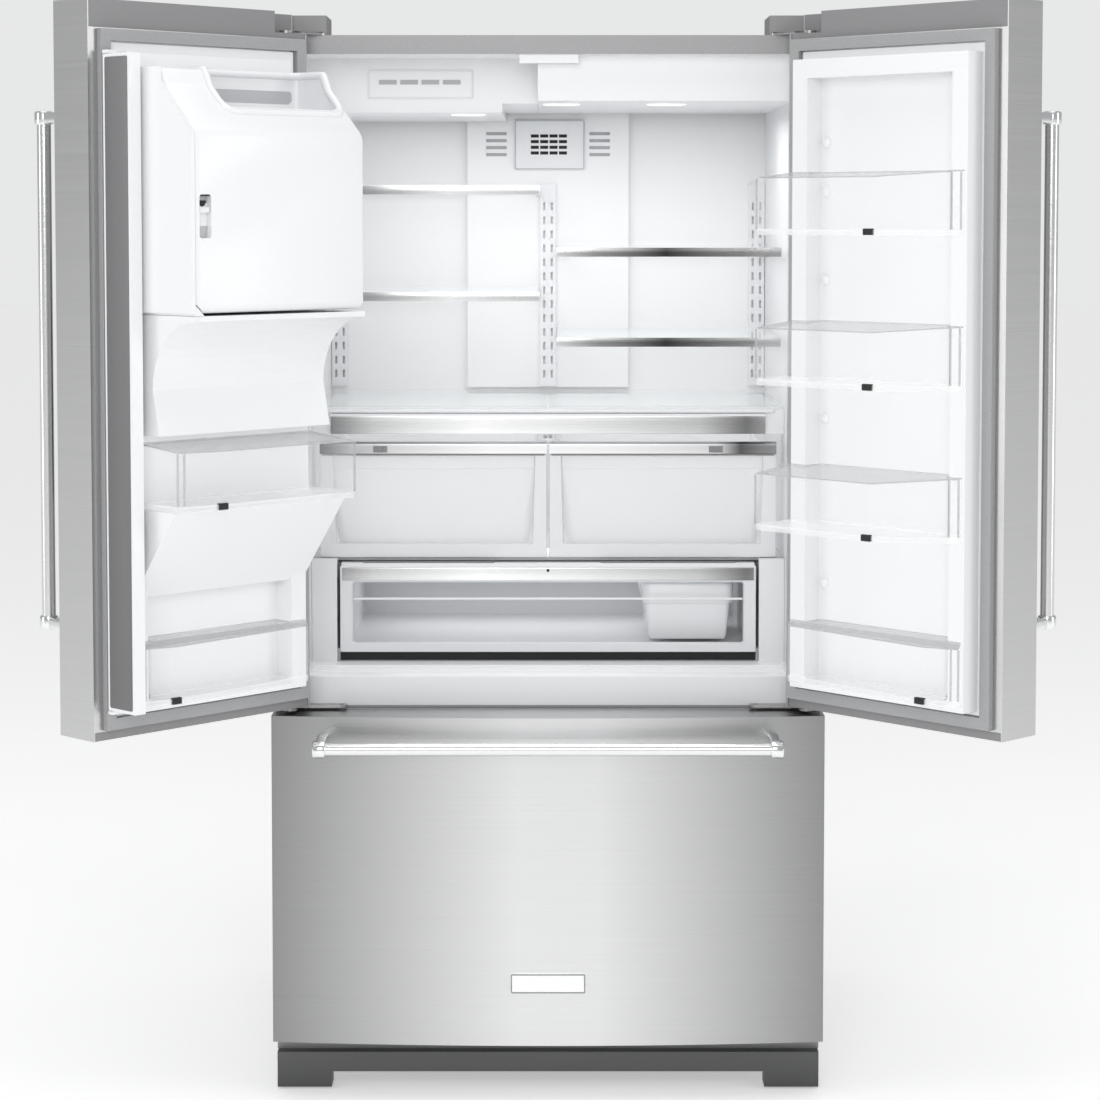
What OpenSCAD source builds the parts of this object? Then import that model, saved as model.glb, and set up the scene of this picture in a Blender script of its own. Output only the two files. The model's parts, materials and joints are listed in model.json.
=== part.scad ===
// French door refrigerator with an in-door ice bin, crispers, a pantry drawer and a freezer drawer.
// Both doors stand open about their hinge pins; every drawer is pushed in.
// X runs across the front, Y runs from the front to the back, Z runs up from the floor.
// Door pieces are drawn on a shut door: x from its hinge edge, y into the cabinet from its inner face.

/* [Cabinet] */
// Width of the cabinet
cab_w = 905; // [754:1:1100]
// Depth of the cabinet without the doors
cab_d = 737; // [700:1:900]
// Height of the cabinet's top above the floor
cab_top = 1749; // [1740:1:2110]
// Height of the insulated box's underside
cab_z0 = 62; // [50:1:75]
// Sheet thickness of the steel casing
skin_t = 2; // [1:0.5:3]
// Insulated wall thickness at the sides
wall_t = 47.5; // [44:0.5:60]
// Insulated wall thickness of the top
top_t = 31; // [26:1:60]
// Insulated wall thickness of the back
back_t = 125; // [100:1:150]
// Thickness of the moulded liners
liner_t = 3; // [2:0.5:5]

/* [Doors] */
// Angle that the doors stand open at
open_angle = 134; // [90:1:134]
// Thickness of a door at the cabinet's corner
door_t = 63; // [60:1:80]
// Extra thickness at the middle of the cabinet, from the bowed front
bow = 23; // [10:1:40]
// Space between a door's inner face and the cabinet
door_gap = 12; // [12:1:16]
// Space between the two doors
centre_gap = 9; // [6:1:14]
// Space between the doors and the freezer drawer
deck_gap = 13; // [12:1:20]
// Height of the hinge covers above the cabinet
cover_h = 32; // [28:1:45]
// Chamfer on a door's inner hinge edge, which lets it swing
edge_cut = 13.5; // [12:0.5:18]
// Height of a door's top cap
cap_top = 43; // [38:1:60]
// Height of a door's bottom cap
cap_low = 14; // [12:1:20]
// Diameter of the hinge pins
pin_d = 10; // [8:0.5:12]
// Distance of the pins from the hinge edge
pin_x = 28; // [24:1:30]
// Distance of the pins behind the door's outer face at the corner
pin_in = 31; // [26:1:31]
// Radial running clearance on pins and axles
run_gap = 0.1; // [0.05:0.01:0.1]

/* [Handles] */
// Diameter of the handle bars
bar_d = 21.5; // [16:0.5:28]
// Diameter of the handles' end caps
cap_d = 28.7; // [24:0.1:34]
// Length of the handles' end caps
cap_len = 21; // [16:1:30]
// Distance from the door's face to the bar's axis
bar_off = 62; // [45:1:75]
// Length of a door handle
door_bar_len = 808; // [600:1:900]
// Height of a door handle's lower end
door_bar_z0 = 807; // [700:1:900]
// Length of the freezer handle
drawer_bar_len = 756; // [560:1:780]

/* [Freezer drawer] */
// Underside of the drawer front
drawer_z0 = 96; // [80:1:120]
// Height of the drawer front
drawer_h = 541; // [480:1:600]
// Width of the blank badge plate
badge_w = 122; // [60:1:160]
// Height of the blank badge plate
badge_h = 32; // [20:1:50]

/* [Fresh food compartment] */
// Height of the compartment's floor above the freezer drawer front
floor_up = 53; // [45:1:70]
// Front plane of the crispers behind the cabinet's front
crisper_y = 172; // [172:1:190]
// Height of the crispers
crisper_h = 199.5; // [160:0.5:220]
// Front plane of the pantry drawer behind the cabinet's front
pantry_y = 150; // [130:1:160]
// Height of the pantry drawer
pantry_h = 153; // [120:1:180]
// Width of the fixed panels beside the pantry drawer
side_panel_w = 43.5; // [30:0.5:60]
// Moulded wall of the crispers, pantry drawer and door bins
tub_t = 2.5; // [2:0.5:4]
// Front plane of the right shelves
shelf_y_right = 140; // [130:1:180]
// Front plane of the left shelves, behind the shut ice bin
shelf_y_left = 190; // [190:1:230]
// Thickness of the glass
glass_t = 4; // [3:0.5:6]

/* [Ice bin and dispenser] */
// Distance from the liner's ceiling to the ice bin's top
ice_drop = 42; // [34:1:60]
// Height of the ice bin
ice_h = 368; // [300:1:400]
// Distance that the ice bin stands into the cabinet
ice_reach = 190; // [150:1:190]
// Width of the dispenser's trim
disp_w = 240; // [200:1:260]
// Height of the dispenser's trim
disp_h = 390; // [340:1:400]

/* [Door bins] */
// Distance that the upper door bins stand into the cabinet
bin_reach = 132; // [100:1:132]
// Height of a door bin
bin_h = 100; // [80:1:120]
// Height of the wall around the bins on a door's liner
dyke_h = 40; // [30:1:45]

/* [Hidden] */

fn_round = 64;   // sides of a round piece where it is drawn as facets
fn_bow = 256;    // sides of the large circle that bows the fronts
eps = 1;         // how far a cutter runs past the face it opens
slip = 0.5;      // space between pieces that slide past or stand beside each other

// Cabinet
half_w = cab_w / 2;
in_w = half_w - wall_t;                    // half width of both compartments
ceiling_z = cab_top - top_t;
drawer_z1 = drawer_z0 + drawer_h;
floor_z = drawer_z1 + floor_up;
back_y = cab_d - back_t;                   // back wall of the fresh food compartment
fz_floor = drawer_z0 + 16;
fz_top = drawer_z1 - 15;
fz_back = cab_d - 177;
fz_step_y = cab_d - 337;                   // the freezer is shallower above the compressor
fz_step_z = 330;
bay_y = fz_step_y + 40;                    // machine bay behind the freezer
bay_z = fz_step_z - 12;
panel_t = 2;                               // back panel sheet

// Doors
inner_y = -door_gap;
door_w = half_w - centre_gap / 2;
door_z0 = drawer_z1 + deck_gap;
door_z1 = cab_top + cover_h;
front_mid = door_t + bow;                  // thickness at the middle of the cabinet
bow_r = (half_w * half_w + bow * bow) / (2 * bow);
frame_z0 = door_z0 + cap_low;              // inner face between the two caps
frame_z1 = door_z1 - cap_top;
pin_back = door_t - pin_in;                // distance of the pins from the inner face
pin_y = inner_y - pin_back;
hinge_reach = 14 - pin_y;                  // from the pin to the far side of the top hinge's plate
seal_w = 18;
seal_t = door_gap - 2;
seal_x0 = 23;
seal_x1 = door_w - 18;
dyke_x0 = pin_x + 27;
dyke_x1 = door_w - 44;
dyke_w = 30;
dyke_z0 = floor_z + 3;
dyke_z1 = ceiling_z - 16;

// Handles
drawer_bar_z = drawer_z1 - 39;
bar_x = door_w - 25;                       // a door's bar, near its free edge

// Ice bin
ice_x0 = dyke_x0;
ice_x1 = dyke_x1 - 8;
ice_y0 = 12;
ice_z1 = ceiling_z - ice_drop;
ice_z0 = ice_z1 - ice_h;
ice_top_reach = 113;
ice_slope = ice_reach - ice_top_reach;
ice_wall = 3;
slot_x0 = ice_x1 - 30;
slot_w = 22;
slot_z0 = ice_z0 + 112;
slot_h = 65;
slot_d = 12;

// Dispenser, below the ice bin
disp_x0 = (ice_x0 + ice_x1 - disp_w) / 2;
disp_z1 = ice_z0 + 82;
disp_z0 = disp_z1 - disp_h;
disp_panel_h = 115;
niche_in = 15;                             // trim around the niche
niche_y1 = 37;
niche_z1 = disp_z1 - disp_panel_h;
proud = 1.5;                               // how far the trim stands off the steel
paddle_w = 50;
paddle_h = 112;
paddle_t = 6;
paddle_y = 15;
paddle_pin_z = niche_z1 - 20;
disp_mid = disp_x0 + disp_w / 2;

// Liner of the left door: shapes above and below its middle bin
mid_bin_z0 = ice_z0 - 299;
mid_bin_reach = 165;
niche_back = 48;                           // liner behind the middle bin
wedge_h = 145;
hollow_y = 100;
hollow_z = 106;
hollow = [                                 // curve below the ice bin, from its lower end
  for (i = [10 : -1 : 0])
    [ice_reach - 5 - hollow_y * sin(i * 9), ice_z0 - 12 - hollow_z * (1 - cos(i * 9))]
];

// Door bins
bin_x0 = dyke_x0 - 1;
bin_x1 = dyke_x1 - 3;
low_bin_z0 = dyke_z0 + 10;
low_bin_reach = 49;
bin_vertex = bin_x1 - 109;                 // where an upper bin's front starts to turn back
low_bin_vertex = bin_x1 - 53;
mid_bin_vertex = bin_x1 - 69;

// Flipper mullion on the left door, folded back beside its liner
flip_w = 66;
flip_t = 20;
flip_z0 = floor_z + 9;
flip_z1 = ceiling_z - 21;
flip_x = half_w - 28;                      // its pivot, on the shut door
flip_y = 6 - inner_y;
flip_near = 5;                             // width on the door's side of the pivot
flip_front = flip_y - door_gap - 0.7;      // distance from the pivot to its sealing face
flip_pin_d = 6;

// Fresh food compartment
shelf_x = in_w - 8;
duct_t = 16;
duct_x = 150;
ladder_t = 8;
ladder_w = 30;
plate_z = floor_z + pantry_h + 18;         // plate between the pantry and the crispers
plate_t = 5;
crisper_z0 = plate_z + plate_t + slip;
crisper_z1 = crisper_z0 + crisper_h;
deck_z = crisper_z1 + 56;                  // underside of the crispers' glass deck
deck_t = 6;
crisper_half = in_w - 13;
pantry_half = in_w - side_panel_w - 5;
pantry_z0 = floor_z + 16;
pantry_z1 = pantry_z0 + pantry_h;
tray_w = 156;
upper_left_z = ceiling_z - 213;
lower_left_z = ceiling_z - 396;
upper_right_z = ceiling_z - 319;
lower_right_z = ceiling_z - 472;
fascia_x0 = -17;                           // clear of the ice bin's corner as the door shuts
housing_z = ceiling_z - 90;
housing_x1 = -77;
housing_y = 140;

// Each shelf: [side of the cabinet, height of its top, front plane]
shelves = [
  [-1, upper_left_z, shelf_y_left],
  [-1, lower_left_z, shelf_y_left],
  [1, upper_right_z, shelf_y_right],
  [1, lower_right_z, shelf_y_right]
];

// Freezer
fbin_half = in_w - 25;
fbin_y1 = fz_step_y - 20;
fbin_z0 = fz_floor + 8;
basket_h = 150;
basket_z0 = fz_top - 37 - basket_h;
fbin_h = basket_z0 - 25 - fbin_z0;
basket_y1 = 325;
rail_z = fbin_z0 + 130;

// Machine bay
comp_x = 210;
comp_y = cab_d - 130;
fan_x = -40;
fan_z = 180;

// Undercarriage
roller_d = 44;
roller_w = 24;
roller_x = half_w - 72;
roller_y = cab_d - 47;
axle_d = 8;
leg_x = half_w - 47;
leg_y = 45;

// The origin is at the middle of the floor that the whole thing covers, its open doors included.
ice_rx = ice_x1 - pin_x;
ice_ry = ice_reach + pin_back;
y_low = pin_y - sin(open_angle) * ice_rx + cos(open_angle) * ice_ry;
y_mid = (y_low + cab_d) / 2;

$fn = fn_round;

// ---------- helpers ----------

// A box from its low corner to its high corner.
module block(a, b) {
  translate(a) cube(b - a);
}

// An upright rod.
module rod_z(x, y, z0, z1, d) {
  translate([x, y, z0]) cylinder(d = d, h = z1 - z0);
}

// A rod along X.
module rod_x(x0, x1, y, z, d) {
  translate([x0, y, z]) rotate([0, 90, 0]) cylinder(d = d, h = x1 - x0);
}

// A box with a hollow that is open at the top.
module tub(a, b, t) {
  difference() {
    block(a, b);
    block(a + [t, t, t], [b[0] - t, b[1] - t, b[2] + eps]);
  }
}

// Both sides of the cabinet.
module both_sides() {
  children();
  mirror([1, 0, 0]) children();
}

// Cabinet pieces: the origin moves to the middle of the covered floor.
module placed() {
  translate([0, -y_mid, 0]) children();
}

module on_left_door() {
  placed()
    translate([pin_x - half_w, pin_y, 0])
      rotate([0, 0, -open_angle])
        translate([-pin_x, pin_back, 0])
          children();
}

module on_right_door() {
  mirror([1, 0, 0]) on_left_door() children();
}

// ---------- shared shapes ----------

// Plan of a bowed front, inset by t: x0 to x1 across, straight back at y = -t.
module front_plan(x0, x1, mid_x, t, chamfer) {
  intersection() {
    translate([mid_x, bow_r - front_mid]) circle(r = bow_r - t, $fn = fn_bow);
    polygon([
      [x0 + t, -front_mid - eps],
      [x1 - t, -front_mid - eps],
      [x1 - t, -t],
      [x0 + chamfer + t * (sqrt(2) - 1), -t],
      [x0 + t, -chamfer - t * (sqrt(2) - 1)]
    ]);
  }
}

// A slice of the bowed face between x0 and x1, from `in` inside the face to `out` outside it.
module face_slice(x0, x1, z0, z1, mid_x, in, out) {
  intersection() {
    translate([0, 0, z0]) linear_extrude(height = z1 - z0) difference() {
      translate([mid_x, bow_r - front_mid]) circle(r = bow_r + out, $fn = fn_bow);
      translate([mid_x, bow_r - front_mid]) circle(r = bow_r - in, $fn = fn_bow);
    }
    block([x0, -front_mid - 2 * eps - out, z0], [x1, -front_mid / 2, z1]);
  }
}

// Distance of the bowed face in front of a door's inner face, at x from the cabinet's middle.
function face_y(x) = bow_r - front_mid - sqrt(bow_r * bow_r - x * x);

// A rectangular ring, such as a seal, standing on a door's inner face.
module ring(x0, x1, z0, z1, w, y0, y1) {
  difference() {
    block([x0, y0, z0], [x1, y1, z1]);
    block([x0 + w, y0 - eps, z0 + w], [x1 - w, y1 + eps, z1 - w]);
  }
}

// ---------- cabinet ----------

module cabinet_shell() color([0.55, 0.55, 0.56]) placed() {
  difference() {
    block([-half_w, 0, cab_z0], [half_w, cab_d - panel_t, cab_top]);
    block([skin_t - half_w, skin_t, cab_z0 + skin_t], [half_w - skin_t, cab_d, cab_top - skin_t]);
    block([-in_w, -eps, fz_floor], [in_w, skin_t + eps, ceiling_z]);
  }
}

module back_panel() color([0.4, 0.4, 0.41]) placed() {
  difference() {
    block([-half_w, cab_d - panel_t, cab_z0], [half_w, cab_d, cab_top]);
    for (x = [-300 : 60 : 300], z = [110 : 45 : 245]) {
      block([x - 20, cab_d - panel_t - eps, z], [x + 20, cab_d + eps, z + 8]);
    }
  }
}

module insulation() color([0.93, 0.86, 0.62]) placed() {
  side = half_w - skin_t;
  low = cab_z0 + skin_t;
  wide = in_w + liner_t;
  difference() {
    block([-side, skin_t, low], [side, cab_d - panel_t, cab_top - skin_t]);
    block([-wide, 0, floor_z - liner_t], [wide, back_y + liner_t, ceiling_z + liner_t]);
    block([-wide, 0, fz_floor - liner_t], [wide, fz_step_y + liner_t, floor_z]);
    block([-wide, 0, fz_step_z - liner_t], [wide, fz_back + liner_t, fz_top + liner_t]);
    block([-side - eps, bay_y, 0], [side + eps, cab_d, bay_z]);
  }
  // foam between the two compartments
  block([-in_w, 60, fz_top + liner_t], [in_w, fz_step_y + liner_t, floor_z - liner_t]);
}

module fridge_liner() color([0.94, 0.945, 0.95]) placed() {
  difference() {
    block(
      [-in_w - liner_t, skin_t, floor_z - liner_t],
      [in_w + liner_t, back_y + liner_t, ceiling_z + liner_t]
    );
    block([-in_w, 0, floor_z], [in_w, back_y, ceiling_z]);
  }
}

module freezer_liner() color([0.92, 0.93, 0.935]) placed() {
  t = liner_t;
  difference() {
    union() {
      block([-in_w - t, skin_t, fz_floor - t], [in_w + t, fz_step_y + t, fz_top + t]);
      block([-in_w - t, fz_step_y, fz_step_z - t], [in_w + t, fz_back + t, fz_top + t]);
    }
    block([-in_w, 0, fz_floor], [in_w, fz_step_y, fz_top]);
    block([-in_w, fz_step_y - eps, fz_step_z], [in_w, fz_back, fz_top]);
  }
}

module centre_rail() color([0.93, 0.935, 0.94]) placed() {
  block([-in_w, 0, fz_top + liner_t], [in_w, 60, floor_z - liner_t]);
  // raised sill at the front of the floor
  block([-in_w + 6, 0, floor_z - liner_t], [in_w - 6, skin_t, floor_z]);
}

module air_duct_panel() color([0.93, 0.93, 0.94]) placed() {
  difference() {
    block([-duct_x, back_y - duct_t, deck_z + 12], [duct_x, back_y, ceiling_z - 4]);
    block([-duct_x + 8, back_y - duct_t + 4, deck_z + 20], [duct_x - 8, back_y + eps, ceiling_z - 12]);
    // louvres on both sides of the vent grille
    for (side = [-1, 1], row = [0 : 3]) {
      translate([side * 96, 0, ceiling_z - 151 + row * 13])
        block([-19, back_y - duct_t - eps, -3], [19, back_y, 3]);
    }
    block([-58, back_y - duct_t - eps, ceiling_z - 175], [64, back_y, ceiling_z - 91]);
  }
}

module vent_grille() color([0.9, 0.9, 0.91]) placed() {
  y0 = back_y - duct_t - 6;
  difference() {
    block([-62, y0, ceiling_z - 179], [68, y0 + 6, ceiling_z - 87]);
    for (row = [0 : 3], col = [0 : 3]) {
      translate([-32 + col * 17.4, y0 - eps, ceiling_z - 151 + row * 10.5]) cube([15, 8, 6]);
    }
  }
}

module ceiling_fascia() color([0.95, 0.955, 0.96]) placed() {
  back = back_y - duct_t - 6 - slip;
  low = ceiling_z - 75;
  difference() {
    block([fascia_x0, 30, low], [in_w, back, ceiling_z]);
    block([fascia_x0 + 3, 33, low + 3], [in_w - 3, back - 3, ceiling_z + eps]);
  }
  // guide that turns the flipper mullion as the left door shuts
  block([-47, 6, ceiling_z - 14], [50, 30 - slip, ceiling_z]);
}

module ice_maker_housing() color([0.95, 0.955, 0.96]) placed() {
  back = back_y - duct_t - 6 - slip;
  difference() {
    block([-in_w, housing_y, housing_z], [housing_x1 - slip, back, ceiling_z]);
    block([3 - in_w, housing_y + 3, housing_z + 3], [housing_x1 - slip - 3, back - 3, ceiling_z + eps]);
    for (col = [0 : 3]) {
      translate([-286 + col * 36, housing_y - eps, housing_z + 47]) cube([30, 6, 8]);
    }
  }
  // cover over the space between the housing and the fascia
  x0 = housing_x1 - slip - 1;
  x1 = fascia_x0 - slip;
  low = ceiling_z - 75;
  block([x0, housing_y, low], [x1, back, low + 3]);
  block([x0, housing_y, low], [x1, housing_y + 3, ceiling_z]);
}

// A column of hook slots that the shelves hang from.
module ladder(x, y) {
  difference() {
    block([x - ladder_w / 2, y - ladder_t, deck_z + 14], [x + ladder_w / 2, y, upper_left_z + 8]);
    for (side = [-1, 1], z = [deck_z + 30 : 26 : upper_left_z - 16]) {
      translate([x + side * 7, 0, z]) block([-2, y - ladder_t - eps, 0], [2, y + eps, 14]);
    }
  }
}

module shelf_ladders() color([0.8, 0.8, 0.81]) placed() {
  ladder(0, back_y - duct_t);
  both_sides() ladder(in_w - 16, back_y);
}

module on_shelves() {
  for (s = shelves) {
    $front = s[2];
    $top = s[1];
    if (s[0] < 0) mirror([1, 0, 0]) children();
    else children();
  }
}

module shelf_glass() color([0.8, 0.88, 0.88, 0.5]) placed() on_shelves() {
  block([16, $front + 5, $top - glass_t], [shelf_x - 1, back_y - 40, $top]);
}

module shelf_frames() color([0.75, 0.75, 0.76]) placed() {
  low = glass_t + 11;
  on_shelves() {
    block([14, $front, $top - 15], [shelf_x, $front + 5, $top]);
    block([17, $front + 5, $top - low], [20, back_y - duct_t - ladder_t, $top - glass_t]);
    block([shelf_x - 6, $front + 5, $top - low], [shelf_x - 3, back_y - ladder_t, $top - glass_t]);
    block([16, back_y - 40, $top - glass_t], [shelf_x - 1, back_y - 37, $top]);
  }
  // silver trim across the front of the crispers' deck
  block([-in_w + 32, crisper_y - 10, deck_z - 42], [in_w - 32, crisper_y, deck_z - 7]);
}

module crisper_deck() color([0.82, 0.87, 0.88, 0.6]) placed() {
  block([-in_w + slip, crisper_y, deck_z], [in_w - slip, back_y - slip, deck_z + deck_t]);
}

module drawer_frame() color([0.93, 0.935, 0.94]) placed() {
  edge = in_w - slip;
  rear = back_y - slip;
  block([-edge, crisper_y + 13, plate_z], [edge, rear, plate_z + plate_t]);
  both_sides() {
    block([pantry_half + 5, pantry_y, floor_z], [edge, pantry_y + 22, plate_z + plate_t]);
    block([pantry_half + 5, pantry_y + 22, floor_z], [pantry_half + 9, rear, plate_z]);
    block([edge - 6, crisper_y + 3, deck_z - 12], [edge, rear, deck_z]);
    // runner under the pantry drawer
    block([pantry_half - 16, pantry_y + 22, floor_z], [pantry_half + 5, rear, pantry_z0 + 3.5]);
  }
  // rail between the crispers
  block([-1, crisper_y + 3, crisper_z1 + 6], [1, rear, deck_z]);
  block([-8, crisper_y + 3, crisper_z1 + 3], [8, rear, crisper_z1 + 6]);
  block([-edge, crisper_y, deck_z - 42], [edge, crisper_y + 3, deck_z]);
}

module base_grille() color([0.33, 0.33, 0.34]) placed() {
  block([-half_w + 1.5, -20, 29], [half_w - 1.5, 0, cab_z0]);
  both_sides() block([half_w - 92, -20, 3], [half_w - 1.5, 20, 29]);
}

module undercarriage() color([0.3, 0.3, 0.31]) placed() both_sides() {
  // front levelling leg
  rod_z(leg_x, leg_y, 0, 9, 38);
  rod_z(leg_x, leg_y, 9, cab_z0, 12);
  // rear roller bracket and its axle
  inner = roller_x - roller_w / 2 - 1;
  outer = roller_x + roller_w / 2 + 1;
  block([inner - 3, roller_y - 22, 12], [inner, roller_y + 22, cab_z0]);
  block([outer, roller_y - 22, 12], [outer + 3, roller_y + 22, cab_z0]);
  rod_x(inner, outer, roller_y, roller_d / 2, axle_d);
}

module rear_rollers() color([0.2, 0.2, 0.2]) placed() both_sides() {
  difference() {
    rod_x(roller_x - roller_w / 2, roller_x + roller_w / 2, roller_y, roller_d / 2, roller_d);
    rod_x(roller_x - roller_w, roller_x + roller_w, roller_y, roller_d / 2, axle_d + 2 * run_gap);
  }
}

module compressor() color([0.12, 0.12, 0.13]) placed() {
  base = cab_z0 + skin_t;
  block([comp_x - 100, comp_y - 70, base], [comp_x + 100, comp_y + 70, base + 6]);
  rod_z(comp_x, comp_y, base + 6, base + 150, 140);
  rod_z(comp_x, comp_y, base + 150, base + 166, 112);
  rod_z(comp_x - 55, comp_y + 52, base + 6, base + 190, 12);
}

module condenser() color([0.25, 0.25, 0.26]) placed() {
  base = cab_z0 + skin_t;
  block([-330, comp_y - 60, base], [-150, comp_y + 60, base + 3]);
  for (i = [0 : 8]) {
    translate([-320 + i * 20, comp_y - 55, base + 3]) cube([3, 110, 190]);
  }
  // fan motor on its stand, with its shaft
  block([fan_x + 40, comp_y - 12, base], [fan_x + 80, comp_y + 12, fan_z - 25]);
  rod_x(fan_x + 40, fan_x + 80, comp_y, fan_z, 52);
  rod_x(fan_x - 14, fan_x + 40, comp_y, fan_z, axle_d);
}

module condenser_fan() color([0.5, 0.5, 0.52]) placed() translate([fan_x, comp_y, fan_z]) {
  difference() {
    union() {
      rod_x(-10, 20, 0, 0, 34);
      for (i = [0 : 4]) {
        rotate([i * 72, 0, 0]) translate([5, 0, 15]) rotate([0, 0, 24])
          block([-1.5, -19, 0], [1.5, 19, 60]);
      }
    }
    rod_x(-12, 22, 0, 0, axle_d + 2 * run_gap);
  }
}

// Hinge plates: the arm leaves the pin at 45 degrees, so that the door can swing round it.
module door_hinges() color([0.62, 0.62, 0.63]) placed() both_sides() {
  px = half_w - pin_x;
  eye = 24;
  strap = 16;
  // top hinge
  rod_z(px, pin_y, cab_top, cab_top + 4, eye);
  translate([px, pin_y, cab_top]) rotate([0, 0, 135])
    block([0, -strap / 2, 0], [-pin_y * sqrt(2) + 10, strap / 2, 4]);
  block([px - hinge_reach, 0, cab_top], [px + 12, 90, cab_top + 4]);
  rod_z(px, pin_y, frame_z1 + 1, cab_top, pin_d);
  // middle hinge, in the gap above the freezer drawer
  z = drawer_z1 + 4;
  rod_z(px, pin_y, z, z + 4, eye);
  block([px - strap / 2, pin_y, z], [px + strap / 2, 0, z + 4]);
  difference() {
    union() {
      block([px - 80, -23, z], [px, 0, z + 4]);
      rod_z(px - 80, -11.5, z, z + 4, 23);
    }
    rod_z(px - 82, -11.5, z - eps, z + 4 + eps, 8);
  }
  rod_z(px, pin_y, z + 4, frame_z0 - 3, pin_d);
}

module hinge_covers() color([0.6, 0.6, 0.61]) placed() both_sides() {
  px = half_w - pin_x;
  difference() {
    block([px - hinge_reach - 3, 1.5, cab_top], [half_w, 112, cab_top + cover_h]);
    block([px - hinge_reach - slip, 4, cab_top - eps], [half_w - 2.5, 109, cab_top + cover_h - 3]);
    block([px - hinge_reach - slip, 0, cab_top - eps], [px + 13, 10, cab_top + 5]);
  }
}

// ---------- door pieces ----------

// Room for the fixed hinge arm above the door's corner.
module hinge_notch() {
  block([-eps, -pin_back - 18, cab_top - 2], [pin_x + 50, eps, door_z1 + eps]);
}

module door_skin() {
  difference() {
    translate([0, 0, door_z0]) linear_extrude(height = door_z1 - door_z0)
      front_plan(0, door_w, half_w, 0, edge_cut);
    translate([0, 0, door_z0 - eps]) linear_extrude(height = door_z1 - door_z0 + 2 * eps)
      front_plan(0, door_w, half_w, skin_t, edge_cut);
    block([seal_x0 + 21, -skin_t - eps, frame_z0 + 21], [seal_x1 - 21, eps, frame_z1 - 21]);
    block([edge_cut + 3, -skin_t - eps, door_z0 - eps], [door_w - skin_t, eps, frame_z0]);
    block([edge_cut + 3, -skin_t - eps, frame_z1], [door_w - skin_t, eps, door_z1 + eps]);
    hinge_notch();
  }
}

module door_caps() {
  difference() {
    union() {
      translate([0, 0, door_z0]) linear_extrude(height = cap_low)
        front_plan(0, door_w, half_w, skin_t, edge_cut);
      translate([0, 0, frame_z1]) linear_extrude(height = cap_top)
        front_plan(0, door_w, half_w, skin_t, edge_cut);
    }
    hinge_notch();
    rod_z(pin_x, -pin_back, door_z0 - eps, door_z1, pin_d + 2 * run_gap);
  }
}

// Foam core and moulded liner with the raised wall that the bins hang between.
module door_liner_body() {
  translate([0, 0, frame_z0]) linear_extrude(height = frame_z1 - frame_z0)
    front_plan(0, door_w, half_w, skin_t, edge_cut);
  block([seal_x0 + 22, -skin_t, frame_z0 + 22], [seal_x1 - 22, 4, frame_z1 - 22]);
  difference() {
    block([dyke_x0, 4, dyke_z0], [dyke_x1, dyke_h, dyke_z1]);
    block([dyke_x0 + dyke_w, 4, low_bin_z0 - slip], [dyke_x1 - dyke_w, dyke_h + eps, dyke_z1 - dyke_w]);
  }
}

module door_gasket() {
  ring(seal_x0, seal_x1, frame_z0 + 2, frame_z1 - 2, seal_w, 0, seal_t);
}

// A bar on two posts, its axis along X from 0 to len, its door at y = off.
module handle_bar(len, off) {
  rod_x(cap_len, len - cap_len, 0, 0, bar_d);
  for (x = [0, len - cap_len]) {
    rod_x(x, x + cap_len, 0, 0, cap_d);
    block([x + 1, 0, -9], [x + cap_len - 1, off, 9]);
  }
}

module door_handle() {
  face = face_y(half_w - bar_x);
  translate([bar_x, face - bar_off, door_bar_z0]) rotate([0, -90, 0]) handle_bar(door_bar_len, bar_off);
}

// Plan of a door bin: its front runs straight to a vertex, then back towards the door's free edge.
// Its rear part fits between the liner's raised walls, from y = rear to y = back.
function bin_plan(reach, vertex, far_reach, end_reach, back, rear, t) = concat(
  [
    [bin_x0 + t, back + t], [bin_x0 + t, reach - t], [vertex - t / 2, far_reach - t],
    [bin_x1 - t, end_reach - t], [bin_x1 - t, back + t]
  ],
  rear < back
    ? [
        [dyke_x1 - dyke_w - 2 - t, back + t], [dyke_x1 - dyke_w - 2 - t, rear + t],
        [dyke_x0 + dyke_w + 2 + t, rear + t], [dyke_x0 + dyke_w + 2 + t, back + t]
      ]
    : []
);

module bin(z0, reach, vertex, far_reach, end_reach, back, rear) {
  difference() {
    translate([0, 0, z0]) linear_extrude(height = bin_h)
      polygon(bin_plan(reach, vertex, far_reach, end_reach, back, rear, 0));
    translate([0, 0, z0 + tub_t + 2]) linear_extrude(height = bin_h)
      polygon(bin_plan(reach, vertex, far_reach, end_reach, back, rear, tub_t));
  }
}

// ---------- left door ----------

module disp_cut(grow) {
  block(
    [disp_x0 - grow, -front_mid - 5, disp_z0 - grow],
    [disp_x0 + disp_w + grow, niche_y1 + liner_t + grow, niche_z1 + grow]
  );
}

module left_door_skin() color([0.74, 0.74, 0.75]) on_left_door() difference() {
  door_skin();
  block([disp_x0, -front_mid - 5, disp_z0], [disp_x0 + disp_w, -door_t / 2, disp_z1]);
}

// Side view of the ice bin, y into the cabinet and z up.
module ice_profile(inset) {
  polygon([
    [ice_y0 + inset, ice_z0 + inset],
    [ice_reach - inset, ice_z0 + inset],
    [ice_reach - inset, ice_z1 - 21 - ice_slope - inset / 2],
    [ice_top_reach - inset / 2, ice_z1 - 21 - inset],
    [ice_top_reach - inset / 2, ice_z1 - inset],
    [ice_y0 + inset, ice_z1 - inset]
  ]);
}

// Stretches a side view from x0 to x1.
module side_extrude(x0, x1) {
  translate([x0, 0, 0]) rotate([90, 0, 90]) linear_extrude(height = x1 - x0) children();
}

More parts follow.
